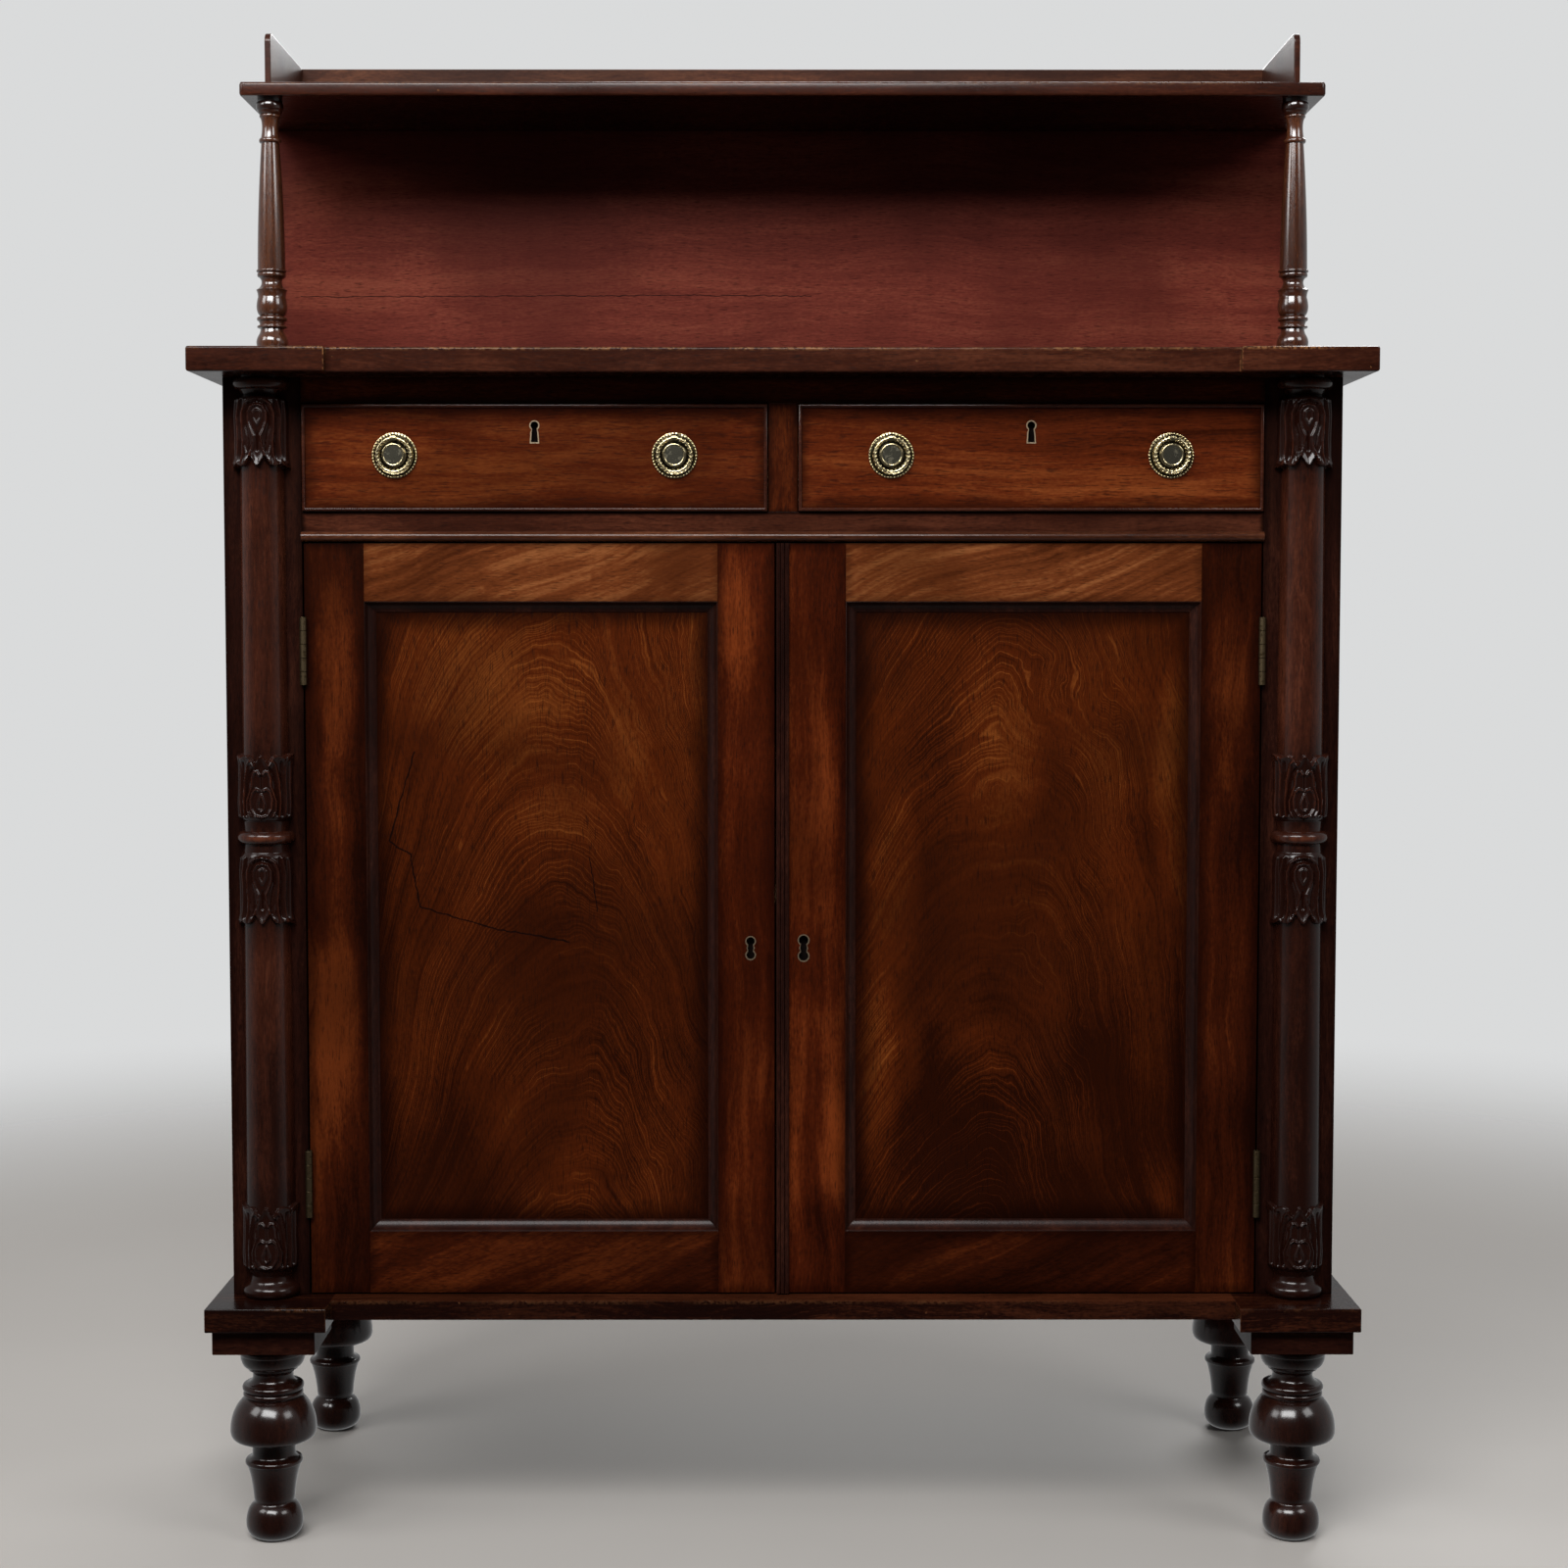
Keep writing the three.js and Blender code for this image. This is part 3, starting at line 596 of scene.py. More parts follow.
@dataclass(frozen=True)
class TopPolish(Mahogany):
    """Mahogany whose polish has gone through to bare wood along the upper front edge, with
    painted highlights on those arrises.
    """

    top: float = 0.0
    front: float = 0.0
    wear: float = 0.8
    lid: float = 0.0
    step: float = 9.0
    recess: float = 0.0
    # The colour of bare wood, also used for the painted highlights along the arrises.
    bare: Colour = (0.21, 0.095, 0.036)

    def _stands_out(self, graph: Graph) -> Value:
        """1 on the ends that stand forward and 0 between them."""
        return (abs(graph.x) - self.step).rise(0.0, 1.0 * MM)

    def _pattern(self, graph: Graph) -> Value:
        """Straight grain, with painted light on the upper face between the ends."""
        # Painted light on the upper face, which faces the lamps.
        above = (graph.z - (self.top - 0.7 * MM)).rise(0.0, 0.5 * MM) * self.lid
        return self._bands(graph) + above * (1.0 - self._stands_out(graph))

    def _worn(self, graph: Graph, colour: Any) -> Any:
        """Shows bare wood and painted highlights along the upper front edge and where the front
        steps back.

        Args:
            graph: The material's graph.
            colour: The polished colour.

        Returns:
            The colour with its worn places.
        """
        behind = graph.y - self.front - (1.0 - self._stands_out(graph)) * self.recess
        near_top = abs(graph.z - (self.top - 0.6 * MM)).rise(3.2 * MM, 0.5 * MM)
        near_front = behind.rise(7 * MM, 3 * MM)
        near_step = abs(abs(graph.x) - self.step).rise(1.3 * MM, 0.2 * MM)
        # Pale lines along the upper arris and the step: bare wood and painted highlights.
        edge = (near_top * 0.7).most(near_step * 0.8)
        rubbed_and_painted_light = graph.cloud((16.0, 30.0, 30.0), 4.0).rise(0.4, 0.6)
        scuff = graph.cloud((340.0, 420.0, 420.0)).rise(0.38, 0.6)
        specks = graph.cloud(190.0, 2.0).rise(0.74, 0.8) * near_front * 0.5
        worn_and_lit = edge * near_front * rubbed_and_painted_light * scuff * self.wear
        return graph.blend(worn_and_lit.most(specks), colour, self.bare)


@dataclass(frozen=True)
class Pine:
    """Bare softwood that has darkened with age."""

    pale: Colour = (0.36, 0.22, 0.115)
    dark: Colour = (0.17, 0.085, 0.036)
    run: Run = Run.WIDTH

    def dress(self, name: str, seed: int) -> Material:
        """Makes the material of one board.

        Args:
            name: The material's name.
            seed: Which part of the timber the board was cut from.

        Returns:
            The material.
        """
        graph = Graph(name, (seed * 0.91, seed * 1.73, seed * 0.57))
        rings = graph.noise(graph.mapped(self.run.stretch(1.6, 34.0), shift=graph.shift),
                            3.0, 0.4)
        fibre = graph.cloud(self.run.stretch(18.0, 900.0), 2.0)
        stripes = (rings * 9.0).fraction().rise(0.1, 0.95)
        colour = graph.blend(stripes * 0.55 + fibre * 0.3, self.pale, self.dark)
        stain = graph.cloud(5.0, 4.0).rise(0.5, 0.75) * 0.5
        graph.paint(graph.blend(stain, colour, shaded(self.dark, 0.6)), fibre * 0.2 + 0.62)
        graph.relief(fibre, 0.15 * MM, 0.6)
        return graph.material


@dataclass(frozen=True)
class Metal:
    """A metal with tarnish in its hollows and bright handled places."""

    bright: Colour
    tarnish: Colour
    cover: float = 0.5
    roughness: float = 0.3

    def dress(self, name: str) -> Material:
        """Makes the material.

        Args:
            name: The material's name.

        Returns:
            The material.
        """
        graph = Graph(name)
        dull = self._dull(graph)
        graph.paint(self._colour(graph, dull), dull * 0.25 + self.roughness)
        graph.settings(Metallic=1.0)
        return graph.material

    def _colour(self, graph: Graph, dull: Value) -> Socket:
        """The bright metal under its tarnish."""
        return graph.blend(dull, self.bright, self.tarnish)

    def _dull(self, graph: Graph) -> Value:
        """Where tarnish lies, and the metal's fine unevenness.

        Args:
            graph: The material's graph.

        Returns:
            1 under tarnish and 0 on bright metal.
        """
        blotch = graph.cloud(260.0, 4.0)
        speck = graph.cloud(1500.0, 2.0)
        graph.relief(speck * 0.6 + blotch * 0.4, 0.08 * MM, 0.5)
        return (blotch * 0.7 + speck * 0.3).rise(0.66 - self.cover * 0.3, 0.74 - self.cover * 0.2)


@dataclass(frozen=True)
class StampedBrass(Metal):
    """Brass of a round plate, black in the hollows between its rings."""

    centre: Pair = (0.0, 0.0)
    hollows: Line = ((9.9, 13.2), (16.6, 18.6))
    soft: float = 0.7
    black: Colour = (0.012, 0.009, 0.004)

    def _hollow(self, graph: Graph) -> Value:
        """Marks the hollows by their distance from the centre.

        Args:
            graph: The material's graph.

        Returns:
            1 in a hollow and 0 outside.
        """
        across, up = graph.x - self.centre[0], graph.z - self.centre[1]
        away = (across * across + up * up).root() * (1 / MM)
        mask: Value | None = None
        for inner, outer in self.hollows:
            band = away.rise(inner - self.soft, inner + self.soft) \
                * away.rise(outer + self.soft, outer - self.soft)
            mask = band if mask is None else mask.most(band)
        return mask

    def _colour(self, graph: Graph, dull: Value) -> Socket:
        """The metal's colour, black in its hollows."""
        return graph.blend(self._hollow(graph) * 0.93, super()._colour(graph, dull), self.black)


@dataclass(frozen=True)
class Void:
    """Painted shade: a dark sheet that stands for the shadowy inside of a keyhole."""

    shade: Colour = (0.004, 0.003, 0.003)
    dust: Colour = (0.012, 0.008, 0.006)

    def dress(self, name: str) -> Material:
        """Makes the material."""
        graph = Graph(name)
        specks = graph.cloud(900.0)
        graph.paint(graph.blend(specks * 0.3, self.shade, self.dust), specks * 0.1 + 0.8)
        graph.settings(Specular_IOR_Level=0.0)
        return graph.material


def shades(dark: Colour, body: Colour, light: Colour) -> dict[str, Colour]:
    """The three colours of a timber, from its darkest lines to its lightest."""
    return {"dark": dark, "body": body, "light": light}


BLACKENED = shades((0.004, 0.0012, 0.0008), (0.0135, 0.0036, 0.0022), (0.036, 0.0105, 0.0055))
BASE_BLACK = shades((0.003, 0.0008, 0.0005), (0.0085, 0.002, 0.0011), (0.05, 0.013, 0.005))
NUTBROWN = shades((0.012, 0.0033, 0.0017), (0.043, 0.0125, 0.0055), (0.11, 0.038, 0.016))
UMBER = shades((0.009, 0.0022, 0.0012), (0.031, 0.0078, 0.0038), (0.074, 0.021, 0.01))
DEEP = shades((0.008, 0.0015, 0.0004), (0.028, 0.0046, 0.0011), (0.078, 0.0155, 0.0032))
RUSSET = shades((0.011, 0.0017, 0.0004), (0.042, 0.0062, 0.0013), (0.108, 0.0205, 0.0042))
WARM = shades((0.019, 0.003, 0.0006), (0.061, 0.0098, 0.0022), (0.128, 0.03, 0.007))
HONEY = shades((0.035, 0.0075, 0.0017), (0.088, 0.022, 0.006), (0.18, 0.062, 0.019))
RED = shades((0.038, 0.006, 0.0042), (0.088, 0.0162, 0.0105), (0.15, 0.038, 0.021))
PANEL = shades((0.012, 0.0022, 0.0005), (0.049, 0.0083, 0.0013), (0.12, 0.031, 0.0055))

AGED_BRASS = Metal((0.62, 0.52, 0.31), (0.1, 0.075, 0.032), 0.45, 0.2)
BOSS_BRASS = Metal((0.3, 0.28, 0.21), (0.09, 0.08, 0.055), 0.4, 0.22)
DULL_BRASS = Metal((0.1, 0.072, 0.04), (0.03, 0.02, 0.01), 0.6, 0.42)
PALE_BRASS = Metal((0.36, 0.27, 0.18), (0.12, 0.08, 0.05), 0.4, 0.4)
DARK_IRON = Metal((0.16, 0.145, 0.13), (0.06, 0.035, 0.022), 0.5, 0.5)


def added(name: str, data: Any) -> Piece:
    """Adds an object to the scene, by its mesh, lamp or camera."""
    made = bpy.data.objects.new(name, data)
    bpy.context.scene.collection.objects.link(made)
    return made


def mesh_object(name: str, points: Iterable[Sequence[float]], faces: Iterable[Sequence[int]],
                smooth: float = SMOOTH_TO, wear: Sequence[float] | None = None) -> Piece:
    """Makes an object from points and faces, with its faces turned outwards.

    Args:
        name: The object's name.
        points: The corners, in metres.
        faces: Each face's corners by number.
        smooth: The angle in degrees up to which neighbouring faces are shaded as one.
        wear: How far each corner is painted darker or lighter, from 0 in a hollow with painted
            shade to 1 on a bare edge with rubbing and a painted highlight.

    Returns:
        The object.
    """
    mesh = bpy.data.meshes.new(name)
    mesh.from_pydata([tuple(point) for point in points], [], [tuple(face) for face in faces])
    # The carving's painted shade and painted highlights ride on the mesh as a point attribute.
    if wear is not None:
        mesh.attributes.new("wear", "FLOAT", "POINT").data.foreach_set("value", list(wear))
    bench = bmesh.new()
    bench.from_mesh(mesh)
    bmesh.ops.remove_doubles(bench, verts=bench.verts, dist=1e-7)
    bmesh.ops.recalc_face_normals(bench, faces=bench.faces)
    bench.to_mesh(mesh)
    bench.free()
    shade(mesh, smooth)
    return added(name, mesh)


def shade(mesh: bpy.types.Mesh, smooth: float) -> None:
    """Shades a mesh smooth, with sharp edges past an angle in degrees."""
    mesh.polygons.foreach_set("use_smooth", [True] * len(mesh.polygons))
    mesh.set_sharp_from_angle(angle=math.radians(smooth))
    mesh.update()


def round_over(bench: MeshBench, edges: list[Any], ease: float, segments: int = 2) -> None:
    """Rounds the given edges of a mesh that is being built."""
    bmesh.ops.bevel(bench, geom=edges, offset=ease, segments=segments, affect="EDGES",
                    profile=0.6, clamp_overlap=True)


def add_block(bench: MeshBench, low: Sequence[float], high: Sequence[float],
              ease: float = 0.0) -> None:
    """Adds a box with eased edges to a mesh that is being built.

    Args:
        bench: The mesh.
        low: The lowest corner.
        high: The highest corner.
        ease: How far the edges are rounded.
    """
    made = bmesh.ops.create_cube(bench, size=1.0)["verts"]
    for vert in made:
        vert.co = Vector([low[i] + (vert.co[i] + 0.5) * (high[i] - low[i]) for i in range(3)])
    if ease > 0:
        round_over(bench, list({edge for vert in made for edge in vert.link_edges}), ease)


def from_bench(name: str, bench: MeshBench, smooth: float = SMOOTH_TO) -> Piece:
    """Turns a mesh that was being built into an object."""
    bmesh.ops.recalc_face_normals(bench, faces=bench.faces)
    mesh = bpy.data.meshes.new(name)
    bench.to_mesh(mesh)
    bench.free()
    shade(mesh, smooth)
    return added(name, mesh)


def blocks(name: str, boxes: Sequence[tuple[Sequence[float], Sequence[float]]],
           ease: float = 0.5 * MM) -> Piece:
    """One object of several eased boxes."""
    bench = bmesh.new()
    for low, high in boxes:
        add_block(bench, low, high, ease)
    piece = from_bench(name, bench)
    level_faces(piece)
    return piece


def eased(nodes: dict[str, Piece], node: str, ease: float,
          segments: int = 2) -> Piece:
    """A copy of a CAD node with its edges rounded over.

    Args:
        nodes: The frame's nodes.
        node: The node to copy.
        ease: How far the edges are rounded.
        segments: How many faces round an edge.

    Returns:
        The copy, named after the node.
    """
    bench = bmesh.new()
    bench.from_mesh(nodes[node].data)
    bmesh.ops.remove_doubles(bench, verts=bench.verts, dist=1e-6)
    bmesh.ops.dissolve_limit(bench, angle_limit=math.radians(1), verts=bench.verts,
                             edges=bench.edges)
    sharp = [edge for edge in bench.edges
             if len(edge.link_faces) == 2 and edge.calc_face_angle(0.0) > math.radians(50)]
    round_over(bench, sharp, ease, segments)
    piece = from_bench(f"{node}_timber", bench)
    level_faces(piece)
    return piece


def prism(name: str, outline: Sequence[Pair], low: float, high: float,
          axis: int = 1) -> Piece:
    """A flat outline given a thickness.

    Args:
        name: The object's name.
        outline: The corners on the other two axes, in their order.
        low: Where the thickness starts.
        high: Where it ends.
        axis: The axis that the thickness runs along.

    Returns:
        The object.
    """
    def corner(pair: Pair, depth: float) -> list[float]:
        """One corner, at a depth along the axis."""
        place = list(pair)
        place.insert(axis, depth)
        return place

    count = len(outline)
    points = [corner(pair, depth) for depth in (low, high) for pair in outline]
    faces = [list(range(count)), list(range(2 * count - 1, count - 1, -1))]
    faces += [(i, (i + 1) % count, (i + 1) % count + count, i + count) for i in range(count)]
    return mesh_object(name, points, faces)


def carve(piece: Piece, cutter: Piece) -> None:
    """Cuts one object out of another and deletes the cutter."""
    modifier = piece.modifiers.new("Cut", "BOOLEAN")
    modifier.operation = "DIFFERENCE"
    modifier.solver = "EXACT"
    modifier.object = cutter
    bake_modifiers(piece)
    bpy.data.objects.remove(cutter)
    shade(piece.data, SMOOTH_TO)
    level_faces(piece)


def level_faces(piece: Piece) -> None:
    """Keeps the shading of broad faces flat right up to their rounded edges."""
    modifier = piece.modifiers.new("Level", "WEIGHTED_NORMAL")
    modifier.keep_sharp = True
    modifier.weight = 90
    bake_modifiers(piece)


def bake_modifiers(piece: Piece) -> None:
    """Turns an object with modifiers into a plain mesh."""
    graph = bpy.context.evaluated_depsgraph_get()
    mesh = bpy.data.meshes.new_from_object(piece.evaluated_get(graph))
    piece.modifiers.clear()
    piece.data = mesh


def around(count: int) -> np.ndarray:
    """Angles spaced evenly round a circle."""
    return np.linspace(0, 2 * math.pi, count, endpoint=False)


def ring_faces(rows: int, count: int, closed: bool = False) -> list[tuple[int, ...]]:
    """The faces between rows of points, each of which runs round a ring.

    Args:
        rows: The number of rows.
        count: The number of points in a row.
        closed: Whether the last row joins the first.

    Returns:
        Each face's points by number.
    """
    return [(row * count + i, row * count + (i + 1) % count,
             (row + 1) % rows * count + (i + 1) % count, (row + 1) % rows * count + i)
            for row in range(rows if closed else rows - 1) for i in range(count)]


def turned(name: str, outline: Sequence[Pair], centre: Point,
           segments: int = 56, axis: int = 2) -> Piece:
    """A piece off the lathe.

    Args:
        name: The object's name.
        outline: Radius and height of each point, from the foot to the top.
        centre: Where the axis meets height 0.
        segments: How many faces go round.
        axis: 2 for an upright piece, or 1 for one that faces the front.

    Returns:
        The object, closed at both ends.
    """
    points: list[Point] = []
    rows = [(0.0, outline[0][1]), *outline, (0.0, outline[-1][1])]
    for radius, height in rows:
        for step in range(segments):
            angle = 2 * math.pi * step / segments
            across, up = radius * math.cos(angle), radius * math.sin(angle)
            if axis == 2:
                points.append((centre[0] + across, centre[1] + up, centre[2] + height))
            else:
                points.append((centre[0] + across, centre[1] - height, centre[2] + up))
    return mesh_object(name, points, ring_faces(len(rows), segments), 40.0)


def mitred(name: str, box: tuple[float, float, float, float], face: float,
           profile: Sequence[Pair]) -> Piece:
    """A moulding mitred round an opening.

    Args:
        name: The object's name.
        box: The opening's lowest X and Z and highest X and Z.
        face: The Y of the face that the profile's depths are counted from.
        profile: A closed outline, each point as its inset from the opening and its depth.

    Returns:
        The object.
    """
    x0, z0, x1, z1 = box
    points: list[Point] = []
    for inset, depth in profile:
        y = face + depth
        points += [(x0 + inset, y, z0 + inset), (x1 - inset, y, z0 + inset),
                   (x1 - inset, y, z1 - inset), (x0 + inset, y, z1 - inset)]
    return mesh_object(name, points, ring_faces(len(profile), 4, True), 30.0)


def arc(centre: Pair, radii: Pair, start: float, end: float, steps: int) -> list[Pair]:
    """Points on part of an ellipse, between two angles in degrees."""
    angles = np.radians(np.linspace(start, end, steps + 1))
    return [(centre[0] + radii[0] * math.cos(a), centre[1] + radii[1] * math.sin(a))
            for a in angles]


def curve(start: Pair, via: Pair, end: Pair, steps: int) -> list[Pair]:
    """Points on a curve between two ends that bends towards a third point."""
    shares = [step / steps for step in range(steps + 1)]
    return [tuple((1 - t) ** 2 * start[i] + 2 * t * (1 - t) * via[i] + t * t * end[i]
                  for i in range(2)) for t in shares]


class Turning:
    """The outline of a turned piece, drawn upwards from its foot in millimetres."""

    def __init__(self, radius: float, height: float) -> None:
        """Starts the outline at a radius and height."""
        self.points = [(radius, height)]

    def to(self, radius: float, height: float) -> "Turning":
        """Draws a straight line."""
        self.points.append((radius, height))
        return self

    def sweep(self, radius: float, height: float, via: Pair, steps: int = 8) -> "Turning":
        """Draws a curve that bends towards a point.

        Args:
            radius: The radius where the curve ends.
            height: The height where it ends.
            via: The radius and height that it bends towards.
            steps: How many straight pieces it has.

        Returns:
            The outline.
        """
        self.points += curve(self.points[-1], via, (radius, height), steps)[1:]
        return self

    def bead(self, height: float, swell: float, steps: int = 10) -> "Turning":
        """Draws a half-round bead up to a height.

        Args:
            height: Where the bead ends, at the radius where it began.
            swell: How far it stands out.
            steps: How many straight pieces it has.

        Returns:
            The outline.
        """
        radius, low = self.points[-1]
        middle, half = (low + height) / 2, (height - low) / 2
        self.points += arc((radius, middle), (swell, half), -90, 90, steps)[1:]
        return self

    def metres(self) -> list[Pair]:
        """The outline in metres."""
        return [(radius * MM, height * MM) for radius, height in self.points]


class GeometryRecipe(NodeBench):
    """A Geometry Nodes tree with named inputs, run on one object and then made plain."""

    KINDS = {float: "NodeSocketFloat", int: "NodeSocketInt", tuple: "NodeSocketVector",
             type(None): "NodeSocketMaterial"}

    def __init__(self, name: str, sizes: dict[str, Any]) -> None:
        """Starts the tree.

        Args:
            name: The tree's name.
            sizes: Each input's default by name, or None for a material.
        """
        tree = bpy.data.node_groups.new(name, "GeometryNodeTree")
        super().__init__(tree)
        tree.interface.new_socket("Geometry", in_out="INPUT", socket_type="NodeSocketGeometry")
        self.sockets = {}
        for label, default in sizes.items():
            socket = tree.interface.new_socket(label, in_out="INPUT",
                                               socket_type=self.KINDS[type(default)])
            if default is not None:
                socket.default_value = default
            self.sockets[label] = socket.identifier
        tree.interface.new_socket("Geometry", in_out="OUTPUT", socket_type="NodeSocketGeometry")
        self.given = self.node("NodeGroupInput").outputs
        self.shapes: list[Socket] = []

    def moved(self, shape: Any, shift: Any = ORIGIN, turn: Any = ORIGIN,
              scale: Any = (1.0, 1.0, 1.0)) -> Socket:
        """Moves, turns and scales a shape."""
        return self.node("GeometryNodeTransform", None, {
            "Geometry": shape, "Translation": shift, "Rotation": turn,
            "Scale": scale}).outputs[0]

    def keep(self, shape: Socket) -> None:
        """Adds a shape to what the tree gives out."""
        self.shapes.append(shape)

    def close(self, with_given: bool = True) -> None:
        """Joins what was kept, realizes it, gives it its material and ends the tree."""
        joined = self.node("GeometryNodeJoinGeometry")
        for shape in self.shapes:
            self.tree.links.new(shape, joined.inputs[0])
        if with_given:
            self.tree.links.new(self.given["Geometry"], joined.inputs[0])
        real = self.node("GeometryNodeRealizeInstances", None, {0: joined.outputs[0]})
        dressed = self.node("GeometryNodeSetMaterial", None, {
            "Geometry": real.outputs[0], "Material": self.given["Material"]})
        output = self.node("NodeGroupOutput")
        self.tree.links.new(dressed.outputs[0], output.inputs[0])

    def run(self, piece: Piece, values: dict[str, Any], smooth: float = 40.0) -> None:
        """Runs the tree on an object and leaves a plain mesh.

        Args:
            piece: The object, whose mesh is the tree's own input.
            values: The inputs to set, by name.
            smooth: The angle in degrees up to which faces are shaded as one.
        """
        modifier = piece.modifiers.new(self.tree.name, "NODES")
        modifier.node_group = self.tree
        for label, value in values.items():
            modifier[self.sockets[label]] = value
        bake_modifiers(piece)
        shade(piece.data, smooth)


@dataclass
class Workshop:
    """What every sub-assembly shares: the frame's nodes and joints, and the count of pieces."""

    nodes: dict[str, Piece]
    joints: list[dict[str, Any]]
    made: int = 0

    def fit(self, piece: Piece, body: str, slot: str, material: Material | None,
            *replaced: str) -> Piece:
        """Gives a piece its material, its body and the node that it stands for.

        Args:
            piece: The finished piece.
            body: The CAD body that it rides on.
            slot: The record's material slot, which is not used.
            material: Its material, or None where it already has one.
            replaced: The CAD nodes that it stands for.

        Returns:
            The piece.
        """
        if material is not None:
            piece.data.materials.clear()
            piece.data.materials.append(material)
        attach(piece, body)
        if replaced:
            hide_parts(*replaced)
        self.made += 1
        log.info("%s rides on %s", piece.name, body)
        return piece

    def redress(self, node: str, material: Material) -> None:
        """Gives a CAD node that keeps its own shape a better material."""
        node_object = self.nodes[node]
        for slot in node_object.material_slots:
            slot.material = material
        log.info("%s keeps its shape", node)

    def board(self, node: str, slot: str, finish: Mahogany, ease: float, seed: int,
              edged: bool = True, segments: int = 2) -> Piece:
        """Replaces a flat CAD board of the carcase by an eased and polished one.

        Args:
            node: The node.
            slot: The record's material slot.
            finish: The timber.
            ease: How far the edges are rounded.
            seed: Which part of the timber the board was cut from.
            edged: Whether its edges are grimy and carry painted shade.
            segments: How many faces round an edge.

        Returns:
            The board.
        """
        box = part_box(node) if edged else None
        material = finish.dress(f"{node}_finish", seed, box)
        return self.fit(eased(self.nodes, node, ease, segments), "carcase", slot, material, node)


@dataclass
class TurnedFoot:
    """A square block over a turned foot that ends in a ball."""

    block_low: float = 180.0
    ease: float = 1.2 * MM

    @staticmethod
    def outline() -> list[Pair]:
        """The foot's outline, from the floor up."""
        foot = Turning(10.9, 0.0)
        foot.sweep(25.7, 15.0, (25.9, 1.2), 12).sweep(18.0, 33.2, (25.5, 28.5), 10)
        foot.sweep(18.4, 36.0, (17.2, 34.6), 3).sweep(24.6, 69.0, (19.6, 56.0), 10)
        foot.sweep(25.9, 71.0, (25.8, 69.2), 4).sweep(24.6, 73.8, (25.9, 73.2), 4)
        foot.sweep(19.4, 77.6, (20.2, 74.4), 5).to(19.4, 87.4).sweep(21.0, 89.2, (19.4, 88.8), 3)
        foot.to(20.0, 90.4).sweep(34.6, 92.6, (31.0, 90.6), 6).sweep(38.9, 101.4, (38.9, 94.4), 8)
        foot.sweep(27.6, 129.6, (38.6, 118.6), 14)
        foot.sweep(25.2, 131.4, (26.0, 130.2), 3).bead(136.6, 1.9, 8).to(25.2, 137.0)
        foot.bead(143.4, 2.6, 10).to(23.6, 143.6).sweep(18.2, 150.2, (18.4, 145.4), 8)
        foot.sweep(22.4, 156.6, (18.2, 155.2), 8).to(22.8, 158.0)
        foot.sweep(29.4, 170.6, (28.8, 160.0), 10)
        foot.bead(175.4, 0.8, 6).to(28.4, 176.2).to(28.4, 180.6)
        return foot.metres()

    def build(self, shop: Workshop, node: str, seed: int) -> None:
        """Builds one foot in place of its node.

        Args:
            shop: The workshop.
            node: The foot's node.
            seed: Which part of the timber it was turned from.
        """
        low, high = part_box(node)
        centre = ((low.x + high.x) / 2, (low.y + high.y) / 2, 0.0)
        shank = turned(f"{node}_turned", self.outline(), centre, 72)
        finish = Mahogany(**BLACKENED, run=Run.HEIGHT, roughness=0.2, coat=0.55, gloss=0.14,
                          edge_dark=0.0)
        material = finish.dress(f"{node}_finish", seed)
        shop.fit(shank, "carcase", "dark_mahogany", material, node)
        pad = blocks(f"{node}_block", [((low.x, low.y, self.block_low * MM),
                                        (high.x, high.y, high.z))], self.ease)
        block = Mahogany(**BLACKENED, edge_dark=0.3)
        shop.fit(pad, "carcase", "dark_mahogany",
                 block.dress(f"{node}_block_finish", seed + 5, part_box(node)))


Ridge = tuple[float, float, Line]
HANGING: tuple[Ridge, ...] = (
    (1.5, 1.1, ((0.0, 0.05), (0.26, 0.07), (0.46, 0.13), (0.57, 0.26), (0.58, 0.46),
                (0.54, 0.64), (0.55, 0.8), (0.62, 0.94))),
    (1.4, 0.9, ((0.0, 0.14), (0.2, 0.16), (0.33, 0.25), (0.33, 0.37), (0.24, 0.48),
                (0.13, 0.57), (0.17, 0.7), (0.27, 0.83), (0.4, 0.95))),
    (1.0, 0.8, ((0.0, 0.21), (0.13, 0.24), (0.14, 0.32), (0.0, 0.42))),
    (0.8, 0.8, ((0.54, 0.66), (0.43, 0.8), (0.47, 0.96))),
    (1.2, 1.0, ((0.7, 0.07), (0.79, 0.3), (0.77, 0.62), (0.82, 0.95))),
    (0.9, 0.9, ((0.9, 0.07), (0.94, 0.5), (0.96, 0.93))),
    (-1.3, 0.9, ((0.65, 0.07), (0.69, 0.3), (0.66, 0.6), (0.7, 0.9))),
    (-1.0, 0.8, ((0.0, 0.1), (0.3, 0.13), (0.45, 0.25), (0.46, 0.42), (0.36, 0.56),
                 (0.31, 0.7), (0.36, 0.88))),
    (-0.9, 0.7, ((0.87, 0.1), (0.87, 0.9))),
    (-1.2, 0.9, ((0.0, 0.52), (0.0, 0.76))))
